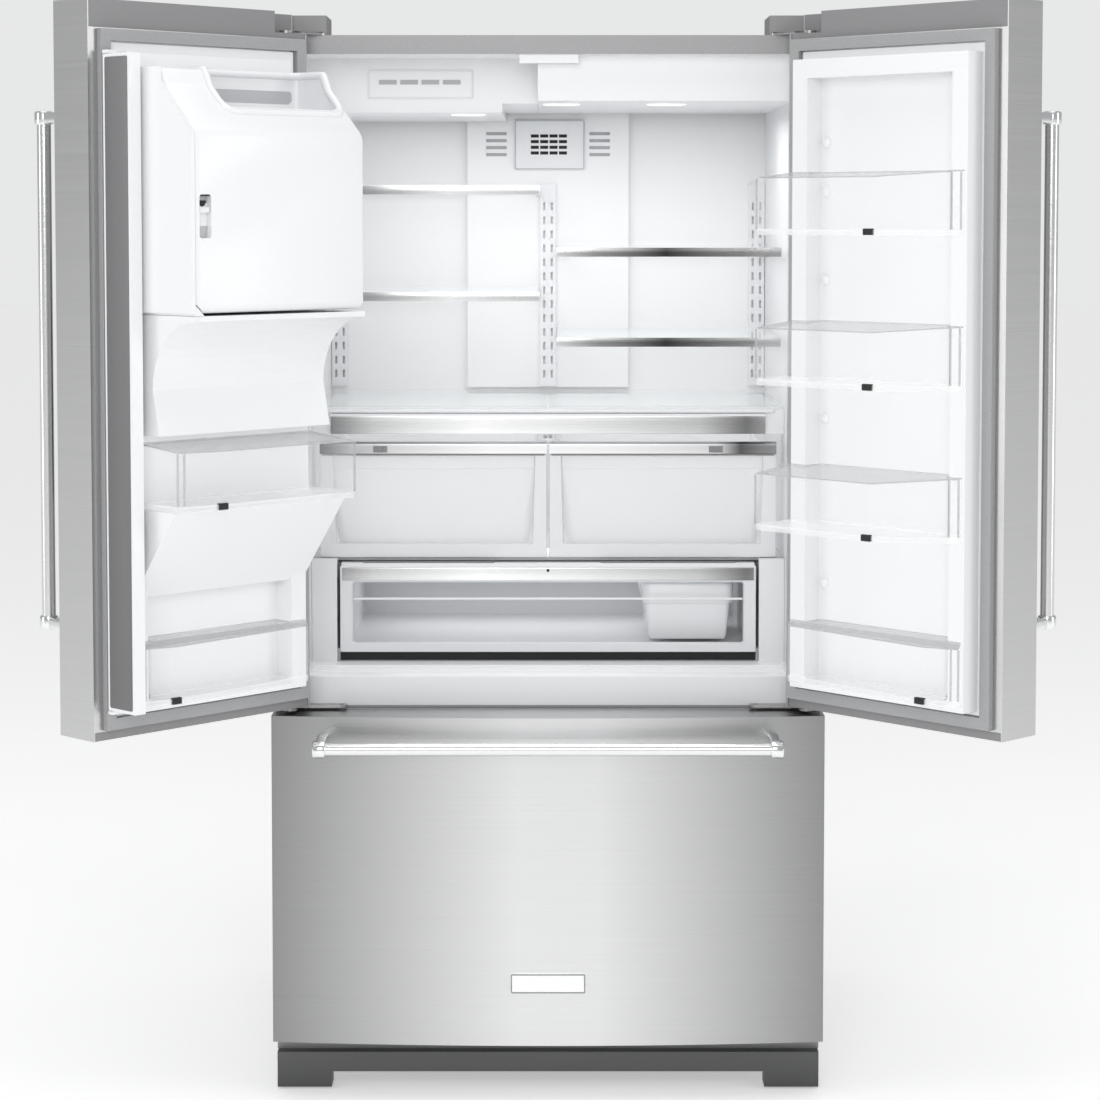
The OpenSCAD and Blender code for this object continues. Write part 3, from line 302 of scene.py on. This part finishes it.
# ---------------------------------------------------------------- shapes
class Shape:
    """Collects closed shells in one place's millimetres, then makes them one piece."""

    def __init__(self, place):
        self.place, self.verts, self.faces = place, [], []

    def loft(self, rings, closed=False, caps=True):
        n, s = len(rings[0]), len(self.verts)
        for ring in rings:
            self.verts += [tuple(p) for p in ring]
        count = len(rings)
        for i in range(count if closed else count - 1):
            a, b = s + i * n, s + ((i + 1) % count) * n
            for j in range(n):
                k = (j + 1) % n
                self.faces.append((a + j, a + k, b + k, b + j))
        if caps and not closed:
            self.faces.append(tuple(range(s, s + n)))
            self.faces.append(tuple(range(s + (count - 1) * n, s + count * n)))
        return self

    def prism(self, pts, z0, z1):
        return self.loft([[(x, y, z0) for x, y in pts], [(x, y, z1) for x, y in pts]])

    def side(self, pts, x0, x1):
        return self.loft([[(x0, y, z) for y, z in pts], [(x1, y, z) for y, z in pts]])

    def facing(self, pts, y0, y1):
        return self.loft([[(x, y0, z) for x, z in pts], [(x, y1, z) for x, z in pts]])

    def box(self, x0, x1, y0, y1, z0, z1):
        return self.prism([(x0, y0), (x1, y0), (x1, y1), (x0, y1)], z0, z1)

    def tube(self, path, radius, sides=14, closed=False, squeeze=1.0):
        pts = [Vector(p) for p in path]
        rings, normal = [], None
        for i, p in enumerate(pts):
            before = pts[i - 1] if (i or closed) else p
            after = pts[(i + 1) % len(pts)] if (i < len(pts) - 1 or closed) else p
            way = (after - before).normalized()
            if normal is None:
                normal = way.orthogonal().normalized()
            normal = (normal - way * normal.dot(way)).normalized()
            side = way.cross(normal)
            rings.append([
                p + normal * radius * math.cos(t) + side * radius * squeeze * math.sin(t)
                for t in (2 * math.pi * k / sides for k in range(sides))
            ])
        return self.loft(rings, closed=closed)

    def make(self, name, body, mat, slot=None, bevel=0.0, segments=3, angle=32, smooth=35):
        mesh = bpy.data.meshes.new(name)
        bm = bmesh.new()
        verts = [bm.verts.new(self.place(*v)) for v in self.verts]
        for f in self.faces:
            bm.faces.new([verts[i] for i in f])
        bmesh.ops.recalc_face_normals(bm, faces=bm.faces)
        bm.to_mesh(mesh)
        bm.free()
        mesh.materials.append(M[mat])
        mesh.shade_smooth()
        mesh.set_sharp_from_angle(angle=math.radians(smooth))
        obj = bpy.data.objects.new(name, mesh)
        bpy.context.scene.collection.objects.link(obj)
        if bevel:
            soften(obj, bevel, segments, angle)
        let_light_through(obj, mat)
        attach(obj, body)
        return obj


def rounded(pts, r, n=5):
    """Polygon with its corners rounded; r is one radius, or one for each corner."""
    out = []
    count = len(pts)
    for i in range(count):
        radius = r[i] if isinstance(r, (list, tuple)) else r
        p, a, b = Vector(pts[i]), Vector(pts[i - 1]), Vector(pts[(i + 1) % count])
        u, v = (a - p).normalized(), (b - p).normalized()
        half = math.acos(max(-1, min(1, u.dot(v)))) / 2
        if radius <= 0 or half > math.pi / 2 - 0.02:
            out.append(tuple(p))
            continue
        reach = min(radius / math.tan(half), (a - p).length * 0.49, (b - p).length * 0.49)
        radius = reach * math.tan(half)
        centre = p + (u + v).normalized() * (radius / math.sin(half))
        s, e = p + u * reach - centre, p + v * reach - centre
        a0, a1 = math.atan2(s.y, s.x), math.atan2(e.y, e.x)
        turn = (a1 - a0 + math.pi) % (2 * math.pi) - math.pi
        for k in range(n + 1):
            t = a0 + turn * k / n
            out.append((centre.x + radius * math.cos(t), centre.y + radius * math.sin(t)))
    return out


def rect(x0, x1, y0, y1, r, n=5):
    return rounded([(x0, y0), (x1, y0), (x1, y1), (x0, y1)], r, n)


def inset(pts, d):
    """The ring moved inwards by d."""
    area = sum(a[0] * b[1] - b[0] * a[1] for a, b in zip(pts, pts[1:] + pts[:1]))
    sign = 1 if area > 0 else -1
    out = []
    for i, p in enumerate(pts):
        a, b = Vector(pts[i - 1]), Vector(pts[(i + 1) % len(pts)])
        way = (b - a).normalized()
        out.append((p[0] - way.y * d * sign, p[1] + way.x * d * sign))
    return out


def cut(obj, cutter):
    """Cuts one made piece with another, for good, and drops the cutter."""
    mod = obj.modifiers.new("cut", "BOOLEAN")
    mod.object = cutter
    mod.solver = "EXACT"
    bpy.context.view_layer.update()
    graph = bpy.context.evaluated_depsgraph_get()
    mesh = bpy.data.meshes.new_from_object(obj.evaluated_get(graph))
    obj.modifiers.clear()
    obj.data = mesh
    mesh.set_sharp_from_angle(angle=math.radians(32))
    bpy.data.objects.remove(cutter)
    return obj


# ---------------------------------------------------------------- door bins
def door_bin(node, place, z0, reach, vertex, far, end, back, rear):
    body = node
    x0, x1, in0, in1 = 57, 401, 90, 372
    plan = [(x0, back), (x0, reach), (vertex, far), (x1, end), (x1, back)]
    radii = [3, 10, 16, 8, 3]
    if rear < back:
        plan += [(in1, back), (in1, rear), (in0, rear), (in0, back)]
        radii += [0.8, 3, 3, 0.8]
    plan = rounded(plan, radii, 6)

    def top(x, y, drop=0.0):
        # the rim climbs towards the liner at both ends
        k = min(1, max(0, (reach - y) / max(reach - back, 1)))
        return z0 + 91 + 9 * k * k * (3 - 2 * k) - drop

    inner = inset(plan, 2.4)
    low = inset(plan, 1.2)
    tub = Shape(place)
    tub.loft([
        [(x, y, z0 + 0.5) for x, y in low],
        [(x, y, z0 + 4) for x, y in plan],
        [(x, y, top(x, y, 1.0)) for x, y in plan],
        [(x, y, top(x, y, 1.0)) for x, y in inner],
        [(x, y, z0 + 5) for x, y in inner],
    ])
    piece = tub.make(node + "_tub", body, "clear", "clear_plastic")
    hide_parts(node)
    mid = inset(plan, 1.2)
    rim = Shape(place).loft([
        [(x, y, top(x, y, 2.2)) for x, y in plan],
        [(x, y, top(x, y, 0.2)) for x, y in plan],
        [(x, y, top(x, y, 0.0)) for x, y in mid],
        [(x, y, top(x, y, 0.2)) for x, y in inner],
        [(x, y, top(x, y, 2.2)) for x, y in inner],
    ])
    rim.make(node + "_rim", body, "clear_rim", "clear_plastic")
    skirt = Shape(place).loft([
        [(x, y, z0) for x, y in inset(plan, 0.6)],
        [(x, y, z0 + 2) for x, y in inset(plan, -0.5)],
        [(x, y, z0 + 8.5) for x, y in inset(plan, -0.5)],
        [(x, y, z0 + 9.5) for x, y in inset(plan, 0.3)],
        [(x, y, z0 + 9.0) for x, y in inset(plan, 2.8)],
        [(x, y, z0 + 5.4) for x, y in inset(plan, 2.8)],
    ])
    skirt.make(node + "_base", body, "clear_base", "clear_plastic")
    # moulded uprights beside the front's bend
    ribs = Shape(place)
    for x in (x0 + 0.4, x1 - 2.6, x1 - 13):
        y = end if x > vertex else reach
        if x == x1 - 13:
            y = end + (far - end) * (13 / (x1 - vertex))
        ribs.box(x, x + 2.2, y - 4.2, y - 0.6, z0 + 9, top(x, y, 2.5))
    ribs.make(node + "_ribs", body, "clear_rim", "clear_plastic", bevel=0.5, segments=2)
    clip = Shape(place)
    clip.prism(rect(vertex - 15, vertex + 3, far - 5.5, far + 1.6, 1.5), z0 + 1, z0 + 11)
    clip.make(node + "_foot", body, "black", "dark_grey", bevel=0.8, segments=2)


door_bin("right_bin_top", right, 1423, 132, 292, 132, 52, 41, 6)
door_bin("right_bin_upper", right, 1186, 132, 292, 132, 52, 41, 6)
door_bin("right_bin_lower", right, 955, 132, 292, 132, 52, 41, 6)
door_bin("right_bin_bottom", right, 703, 49, 348, 69, 49, 41, 6)
door_bin("left_bin_bottom", left, 703, 49, 348, 69, 49, 41, 6)
door_bin("left_bin_middle", left, 1009, 165, 332, 165, 150, 50, 50)

# ---------------------------------------------------------------- ice bin
IZ0, IZ1, IR, IT = 1308, 1676, 190, 113
profile = rounded(
    [(12, IZ0), (IR, IZ0), (IR, IZ1 - 98), (IT + 6, IZ1 - 27), (IT - 6, IZ1), (12, IZ1)],
    [3, 14, 26, 30, 12, 3], 6)
shell = Shape(left)
edge = [(0, 9), (1.5, 4.5), (4.5, 1.5), (9, 0)]
rings = [[(58 + a, y, z) for y, z in inset(profile, b)] for a, b in edge]
rings += [[(396 - a, y, z) for y, z in inset(profile, b)] for a, b in reversed(edge)]
bin_body = shell.loft(rings).make("ice_bin_shell", "ice_bin", "bin_white", "white_liner", smooth=40)
well = Shape(left)
well.loft([
    [(x, y, IZ1 - 72) for x, y in rect(78, 304, 50, 146, 16)],
    [(x, y, IZ1 - 40) for x, y in rect(72, 310, 44, 156, 18)],
    [(x, y, IZ1 + 30) for x, y in rect(72, 310, 44, 156, 18)],
])
cut(bin_body, well.make("well", "ice_bin", "bin_white"))
corner = Shape(left).facing([(372, IZ0 - 5), (405, IZ0 - 5), (405, IZ0 + 24)], -5, IR + 5)
cut(bin_body, corner.make("corner", "ice_bin", "bin_white"))
fillet = Shape(left)
fillet.facing([(379, IZ0 - 3.5), (396.4, IZ0 - 3.5), (396.4, IZ0 + 13)], 16, IR - 0.6)
fillet.make("ice_bin_corner_wall", "left_door", "liner", "white_liner", bevel=1.0)
grip = Shape(left).facing(rounded([(366, 1420), (388, 1420), (388, 1485), (366, 1485)], 4), IR - 11, IR + 5)
cut(bin_body, grip.make("grip", "ice_bin", "bin_white"))
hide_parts("ice_bin")
# painted shade: a grey plate on the floor of the ice bin's well
floor_plate = Shape(left)
floor_plate.prism(rect(80, 302, 52, 144, 15), IZ1 - 74, IZ1 - 71.4)
floor_plate.make("ice_bin_well_floor", "ice_bin", "shade_grey", "grey_trim")


def slope_z(y):
    """Height of the bin's top face at y."""
    if y <= IT - 6:
        return IZ1
    if y <= IT + 6:
        return IZ1 - 27 * (y - IT + 6) / 12
    return IZ1 - 27 - (y - IT - 6) * 71 / (IR - IT - 6)


rim_path = []
outline = rect(71, 311, 43, 157, 20, 8)
for i, p in enumerate(outline):
    q = outline[(i + 1) % len(outline)]
    steps = max(1, int(math.dist(p, q) / 6))
    for k in range(steps):
        x, y = p[0] + (q[0] - p[0]) * k / steps, p[1] + (q[1] - p[1]) * k / steps
        rim_path.append((x, y, slope_z(y) - 1.5))
Shape(left).tube(rim_path, 6.2, 14, closed=True).make("ice_bin_rim", "ice_bin", "bin_white", "white_liner", smooth=60)
# painted shade: a grey plate at the back of the grip slot
slot_back = Shape(left)
slot_back.facing(rounded([(367, 1421), (387, 1421), (387, 1484), (367, 1484)], 3), IR - 10.8, IR - 9.9)
slot_back.make("ice_bin_slot", "ice_bin", "shade_grey", "grey_trim")
# painted shade: a grey plate on the back of the ice bin's well
well_back = Shape(left).facing(rect(84, 250, IZ1 - 70, IZ1 - 26, 6), 44.3, 45.2)
well_back.make("ice_bin_well_back", "ice_bin", "shade_grey", "grey_trim")
# painted shadow: a black strip under the slot's top edge
slot_top = Shape(left).box(367.5, 386.5, IR - 7, IR - 1.2, 1482.5, 1484.5)
slot_top.make("ice_bin_slot_top", "ice_bin", "black", "dark_grey", bevel=0.5)
# painted shade: the latch hole is filled with black
hole = Shape(left)
hole.facing([(377 + 7.5 * math.cos(t), 1476 - 9 * math.sin(t)) for t in (math.pi * k / 12 for k in range(13))],
            IR - 9.6, IR - 8.0)
hole.make("ice_bin_latch_hole", "ice_bin_latch", "black", "dark_grey")

# ---------------------------------------------------------------- door fittings
FLIP_X = 424.5 + 18 - 12 - 0.7
face_plate = Shape(left)
face_plate.loft([[(FLIP_X + d, y, z) for y, z in rect(18 + e, 73 - e, 704 + e, 1692 - e, 3)]
                 for d, e in ((-1.0, 0), (0.8, 0), (1.2, 0.6))])
face_plate.make("flipper_plate", "flipper_mullion", "flipper", "grey_trim")
buttons = Shape(right)
for z in (1570, 1492, 1350, 1128, 862):
    for x in (97, 365):
        buttons.loft([[(x + r * math.cos(t), y, z + r * math.sin(t)) for t in (math.pi * k / 12 for k in range(24))]
                      for y, r in ((3.5, 9), (6.5, 8.4), (8, 6.5), (8.6, 3.5))])
buttons.make("right_liner_buttons", "right_door", "liner", "white_liner", smooth=60)

# ---------------------------------------------------------------- trims on the shelves and the deck
for z, side in ((1505, -1), (1322, -1), (1399, 1), (1246, 1)):
    y = 190 if side < 0 else 140
    name = ("left" if side < 0 else "right") + "_shelf_trim_" + ("upper" if z > 1330 else "lower")
    trim = Shape(cab)
    x0, x1 = sorted((side * 15, side * 396))
    trim.side(rounded([(y - 0.6, z - 15), (y + 0.4, z - 15), (y + 0.4, z + 0.4), (y - 0.6, z + 0.4)], 0.3, 3), x0, x1)
    trim.make(name, "cabinet", "left_trim" if side < 0 else "right_trim", "silver_trim")

deck = Shape(cab)
deck.side(rounded([(161, 1080.5), (171.5, 1080.5), (171.5, 1114.5), (165, 1114.5), (161, 1110)], 1.5, 4), -372, 372)
deck.make("deck_trim", "cabinet", "deck_trim", "silver_trim")
lip = Shape(cab)
lip.prism(rounded([(-385, 166), (385, 166), (403, 190), (403, 240), (-403, 240), (-403, 190)], 2), 1116.5, 1121.5)
lip.make("deck_lip", "cabinet", "soft_white", "white_liner", bevel=1)

# ---------------------------------------------------------------- crispers
def crisper(node, side):
    z0, z1 = 866.5, 1066
    x0, x1 = 2, 392

    def put(x, y, z):
        return cab(side * x, y, z)

    # front frame, wide at the bottom, with its window
    frame_ring = Shape(put)
    outer = rect(x0, x1, z0, z1 - 22, 3)
    hole = rounded([(27, z0 + 24), (x1 - 27, z0 + 24), (x1 - 23, z1 - 24), (23, z1 - 24)], 3)
    frame_ring.loft([
        [(x, 173, z) for x, z in inset(outer, 1)],
        [(x, 174.5, z) for x, z in outer],
        [(x, 182, z) for x, z in outer],
        [(x, 182, z) for x, z in hole],
        [(x, 176, z) for x, z in hole],
        [(x, 173, z) for x, z in inset(hole, -1.5)],
    ], closed=True)
    front = frame_ring.make(node + "_front", node, "soft_white", "frosted_plastic")
    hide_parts(node)
    pane = Shape(put)
    pane.facing(rounded([(25, z0 + 22), (x1 - 25, z0 + 22), (x1 - 21, z1 - 23), (21, z1 - 23)], 3), 178, 180.5)
    pane.make(node + "_pane", node, "window", "frosted_plastic")
    # pull strip along the top
    pull = Shape(put)
    pull.side(rounded([(172.2, z1 - 21), (182, z1 - 21), (182, z1), (176, z1), (172.2, z1 - 4)], 1.5, 4), x0, x1)
    pull.make(node + "_pull", node, "pull_trim", "silver_trim")
    # painted shadow: a dark grey strip on the frame just below the pull strip
    under_pull_shade = Shape(put)
    under_pull_shade.box(x0 + 4, x1 - 4, 171.6, 173, z1 - 23.5, z1 - 21)
    under_pull_shade.make(node + "_groove", node, "cap_grey", "grey_trim", bevel=0.4)
    # tub, tapered towards its floor, with a rolled rim
    tub = Shape(put)
    top = rect(14, x1 - 12, 182.5, 569, 14)
    low = rect(34, x1 - 32, 196, 549, 22)
    tub.loft([
        [(x, y, z0 + 2) for x, y in inset(low, 4)],
        [(x, y, z0 + 7) for x, y in low],
        [(x, y, z1 - 48) for x, y in inset(top, 4)],
        [(x, y, z1 - 46) for x, y in top],
        [(x, y, z1 - 17) for x, y in top],
        [(x, y, z1 - 17) for x, y in inset(top, 2.5)],
        [(x, y, z1 - 47) for x, y in inset(top, 6.5)],
        [(x, y, z0 + 8) for x, y in inset(low, 2.5)],
    ])
    tub.make(node + "_tub", node, "frosted", "frosted_plastic", bevel=0)


crisper("crisper_right", 1)
crisper("crisper_left", -1)

# ---------------------------------------------------------------- pantry drawer and its tray
PZ0, PZ1, PH = 706, 859, 356.5
front = Shape(cab)
outer = rect(-PH, PH, PZ0, PZ1 - 4, 3)
hole = rect(-PH + 22, PH - 22, PZ0 + 16, PZ1 - 33, 4)
front.loft([
    [(x, 151, z) for x, z in inset(outer, 1)],
    [(x, 152.5, z) for x, z in outer],
    [(x, 162, z) for x, z in outer],
    [(x, 162, z) for x, z in hole],
    [(x, 155, z) for x, z in hole],
    [(x, 151, z) for x, z in inset(hole, -2)],
], closed=True)
piece = front.make("pantry_front", "pantry_drawer", "soft_white", "white_liner")
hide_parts("pantry_drawer")
strip = Shape(cab)
strip.side(rounded([(149.8, PZ1 - 29), (153, PZ1 - 29), (153, PZ1 - 6), (149.8, PZ1 - 8)], 1, 4), -PH + 4, PH - 4)
strip.make("pantry_strip", "pantry_drawer", "deck_trim", "silver_trim")
mark = Shape(cab).facing([(2.6 * math.cos(t), PZ1 - 12 + 2.6 * math.sin(t)) for t in (math.pi * k / 12 for k in range(24))], 149, 151)
mark.make("pantry_mark", "pantry_drawer", "black", "dark_grey", bevel=0.3)
ledge = Shape(cab)
ledge.prism(rect(-PH + 2, PH - 2, 152, 196, 4), PZ1 - 6, PZ1)
ledge_piece = ledge.make("pantry_ledge", "pantry_drawer", "liner", "white_liner", bevel=1)
grips = Shape(cab)
for x0, x1 in ((-318, -92), (90, 322)):
    grips.prism(rect(x0, x1, 156, 190, 7), PZ1 - 1, PZ1 + 1.2)
grips.make("pantry_grips", "pantry_drawer", "cap_grey", "grey_trim", bevel=0.6)
pane = Shape(cab).facing(rect(-PH + 21, PH - 21, PZ0 + 15, PZ1 - 32, 4), 156, 158.5)
pane.make("pantry_pane", "pantry_drawer", "clear", "clear_plastic")
line = Shape(cab).facing(rect(-PH + 23, PH - 23, PZ1 - 63, PZ1 - 59.5, 1), 154.5, 156)
line.make("pantry_line", "pantry_drawer", "bin_white", "white_liner")
tub = Shape(cab)
tub.prism([(-345, 166), (-345, 560), (345, 560), (345, 166), (341.5, 166), (341.5, 556.5), (-341.5, 556.5),
           (-341.5, 166)], PZ0 + 8, PZ1 - 9)
tub.box(-344.5, 344.5, 166, 559.5, PZ0 + 4, PZ0 + 8)
tub.make("pantry_tub", "pantry_drawer", "bin_white", "frosted_plastic")
TX0, TX1, TZ = 162.5, 318.5, 724
tray = Shape(cab)
top = rect(TX0 + 4, TX1 - 4, 174, 414, 12)
tray.loft([
    [(x, y, TZ) for x, y in inset(top, 11)],
    [(x, y, TZ + 5) for x, y in inset(top, 7)],
    [(x, y, TZ + 62) for x, y in inset(top, 1)],
    [(x, y, TZ + 64) for x, y in inset(top, -3.5)],
    [(x, y, TZ + 96) for x, y in inset(top, -4)],
    [(x, y, TZ + 98) for x, y in inset(top, -3)],
    [(x, y, TZ + 98) for x, y in inset(top, -1.5)],
    [(x, y, TZ + 63) for x, y in inset(top, 2.5)],
    [(x, y, TZ + 6) for x, y in inset(top, 9.5)],
])
piece = tray.make("pantry_tray_tub", "pantry_tray", "bin_white", "white_liner")
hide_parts("pantry_tray")

# border of the blank plate on the freezer drawer
lo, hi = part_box("badge_plate")
px0, px1, pz0, pz1 = lo.x / MM, hi.x / MM, lo.z / MM, hi.z / MM
py = (lo.y - FRONT) / MM
border = Shape(cab)
outer, hole = rect(px0 + 0.2, px1 - 0.2, pz0 + 0.2, pz1 - 0.2, 2), rect(px0 + 2.2, px1 - 2.2, pz0 + 2.2, pz1 - 2.2, 1)
border.loft([
    [(x, py + 1.4, z) for x, z in outer],
    [(x, py - 0.5, z) for x, z in outer],
    [(x, py - 0.5, z) for x, z in hole],
    [(x, py + 1.4, z) for x, z in hole],
], closed=True)
border.make("badge_border", "freezer_drawer", "cap_grey", "grey_trim")

# painted shadow: black boxes in the gaps around the drawers
gaps = Shape(cab)
gaps.box(-398, 398, 176, 182, 858.5, 860.8)
gaps.box(-357, 357, 166, 170, 690.3, 704)
gaps.make("drawer_shadow_gaps", "cabinet", "black", "dark_grey")

# ---------------------------------------------------------------- inside fittings
# painted shade: a black sheet behind the vent grille
screen = Shape(cab)
screen.box(-36, 40, 596, 598, 1560, 1612)
screen.make("vent_screen", "cabinet", "black", "dark_grey")
lo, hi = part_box("vent_grille")
gx0, gx1, gz0, gz1, gy = lo.x / MM, hi.x / MM, lo.z / MM, hi.z / MM, (lo.y - FRONT) / MM
vent_frame = Shape(cab)
outer, hole = rect(gx0 + 0.5, gx1 - 0.5, gz0 + 0.5, gz1 - 0.5, 3), rect(gx0 + 2.5, gx1 - 2.5, gz0 + 2.5, gz1 - 2.5, 2)
vent_frame.loft([[(x, y, z) for x, z in ring] for y, ring in
                 ((gy + 0.5, outer), (gy - 0.8, outer), (gy - 0.8, hole), (gy + 0.5, hole))], closed=True)
vent_frame.make("vent_frame", "cabinet", "shade_grey", "grey_trim")
# painted shade: grey plates behind the louvres
backs = Shape(cab)
for side in (-1, 1):
    backs.box(side * 96 - 22, side * 96 + 22, 600.5, 602, 1558, 1615)
backs.make("louvre_backs", "cabinet", "shade_grey", "grey_trim")
# painted shade: a grey plate behind the ice maker's vent slots
slots = Shape(cab)
slots.box(-292, -140, 142.6, 143.6, 1670, 1688)
slots.make("ice_maker_vent_back", "cabinet", "shade_grey", "grey_trim")
plate = Shape(cab)
ring = rect(-305, -126, 1650, 1700, 4)
plate.loft([
    [(x, 139.9, z) for x, z in ring],
    [(x, 138.6, z) for x, z in inset(ring, 0.8)],
    [(x, 138.6, z) for x, z in inset(ring, 2.2)],
    [(x, 139.9, z) for x, z in inset(ring, 3)],
], closed=False, caps=False)
plate.make("ice_maker_vent_frame", "cabinet", "soft_white", "white_liner")
lens = Shape(cab)
for x0, x1, y0, y1, z in ((-9, 55, 150, 190, 1643), (167, 236, 150, 190, 1643), (-168, -107, 215, 255, 1628)):
    lens.loft([
        [(x, y, z + 0.5) for x, y in rect(x0, x1, y0, y1, 19, 8)],
        [(x, y, z - 1.5) for x, y in rect(x0 + 2, x1 - 2, y0 + 2, y1 - 2, 17, 8)],
        [(x, y, z - 2.5) for x, y in rect(x0 + 8, x1 - 8, y0 + 8, y1 - 8, 11, 8)],
    ])
lens.make("lamp_lenses", "cabinet", "light", "white_liner", smooth=60)

# sill at the front of the compartment's floor
sill = Shape(cab)
sill.side(rounded([(-1.5, 641), (2, 641), (2, 692), (-1.5, 690)], 1.5, 4), -398, 398)
sill.make("floor_sill", "cabinet", "liner", "white_liner")
ridges = Shape(cab)
for y, h in ((46, 3), (70, 3), (94, 3)):
    ridges.side(rounded([(y - 6, 689.5), (y + 6, 689.5), (y + 2, 690 + h), (y - 2, 690 + h)], 1, 4), -397, 397)
ridges.make("floor_ridges", "cabinet", "liner", "white_liner", smooth=60)
band = Shape(cab)
band.side(rounded([(-2.2, 636.5), (1.5, 636.5), (1.5, 641), (-2.2, 641)], 0.5, 3), -446, 446)
band.make("sill_band", "cabinet", "cap_grey", "grey_trim")

# ---------------------------------------------------------------- handles
def handle(node, body, place_bar, length, off):
    """A round bar between two end caps on shaped posts; u along the bar, v away from the face."""
    bar = Shape(place_bar)

    def ring(u, r, n=40):
        return [(u, r * math.cos(t), r * math.sin(t)) for t in (2 * math.pi * k / n for k in range(n))]

    bar.loft([ring(20, 10.75), ring(length - 20, 10.75)])
    piece = bar.make(node + "_bar", body, "bar", "polished_steel")
    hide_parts(node)
    caps = Shape(place_bar)
    for a, s in ((0, 1), (length, -1)):
        caps.loft([ring(a + s * u, r) for u, r in
                   ((0, 11.5), (0.8, 13.4), (2.2, 14.35), (18.5, 14.35), (20.2, 13.6), (21, 12.2), (21, 10.8))])
        # post: narrows from the cap to the face
        prof = []
        for v, w, h in ((0, 9, 9), (14, 8.6, 9), (off * 0.6, 8.2, 9), (off - 3, 9.4, 10), (off, 9.6, 10)):
            m = a + s * 10.5
            prof.append([(m + p[0], -v, p[1]) for p in rect(-w, w, -h, h, 4, 4)])
        caps.loft(prof)
    caps.make(node + "_caps", body, "chrome", "polished_steel", smooth=40)


BOW_R = (452.5 ** 2 + 23 ** 2) / 46


def face_y(x):
    return BOW_R - 86 - math.sqrt(BOW_R ** 2 - x * x)


def door_handle(node, body, place):
    y = face_y(452.5 - 423) - 62

    def put(u, v, w):
        return place(423 + w, y - v, 807 + u)

    handle(node, body, put, 808, 62.5)


door_handle("left_door_handle", "left_door", left)
door_handle("right_door_handle", "right_door", right)
handle("freezer_handle", "freezer_drawer", lambda u, v, w: drawer(-378 + u, -86 - 62 - v, 598 + w), 756, 62 + 16.5)

# ---------------------------------------------------------------- floor and light
floor = bpy.data.meshes.new("floor")
floor.from_pydata([(-40, -40, -0.0005), (40, -40, -0.0005), (40, 40, -0.0005), (-40, 40, -0.0005)], [], [(0, 1, 2, 3)])
floor.materials.append(material("studio_floor", (0.95, 0.95, 0.95), 0.6, grain=3, tint=0.005, bump=0.0,
                                Emission_Color=(1, 1, 1, 1), Emission_Strength=0.34))
floor = bpy.data.objects.new("studio_floor", floor)
bpy.context.scene.collection.objects.link(floor)


def area(name, at, to, width, height, power):
    lamp = bpy.data.lights.new(name, "AREA")
    lamp.shape = "RECTANGLE"
    lamp.size, lamp.size_y, lamp.energy = width, height, power
    obj = bpy.data.objects.new(name, lamp)
    obj.location = at
    obj.rotation_euler = (Vector(to) - Vector(at)).to_track_quat("-Z", "Y").to_euler()
    obj.visible_camera = False
    bpy.context.scene.collection.objects.link(obj)


area("key", (-0.4, -5.4, 2.9), (0, 0, 1.0), 2.4, 2.4, 74)
area("top", (0, -0.8, 4.6), (0, 0, 0.6), 3.6, 2.6, 50)
area("left_side", (-4.4, -1.8, 1.9), (0, 0, 1.0), 1.2, 3.0, 27)
area("right_side", (4.4, -1.8, 1.9), (0, 0, 1.0), 1.2, 3.0, 27)
area("inside_top", (0, 0.05, 1.62), (0, 0.12, 0), 0.72, 0.3, 1.8)
area("inside_low", (0, FRONT + 0.36, 0.846), (0, FRONT + 0.3, 0.7), 0.6, 0.24, 0.5)

world = bpy.data.worlds.new("studio")
world.use_nodes = True
sky = world.node_tree.nodes["Background"]
sky.inputs["Color"].default_value = (0.96, 0.965, 0.97, 1)
seen = world.node_tree.nodes.new("ShaderNodeLightPath")
power = world.node_tree.nodes.new("ShaderNodeMapRange")
power.inputs["To Min"].default_value = 0.5
power.inputs["To Max"].default_value = 0.835
world.node_tree.links.new(seen.outputs["Is Camera Ray"], power.inputs["Value"])
world.node_tree.links.new(power.outputs["Result"], sky.inputs["Strength"])
bpy.context.scene.world = world
bpy.context.scene.view_settings.view_transform = "Standard"
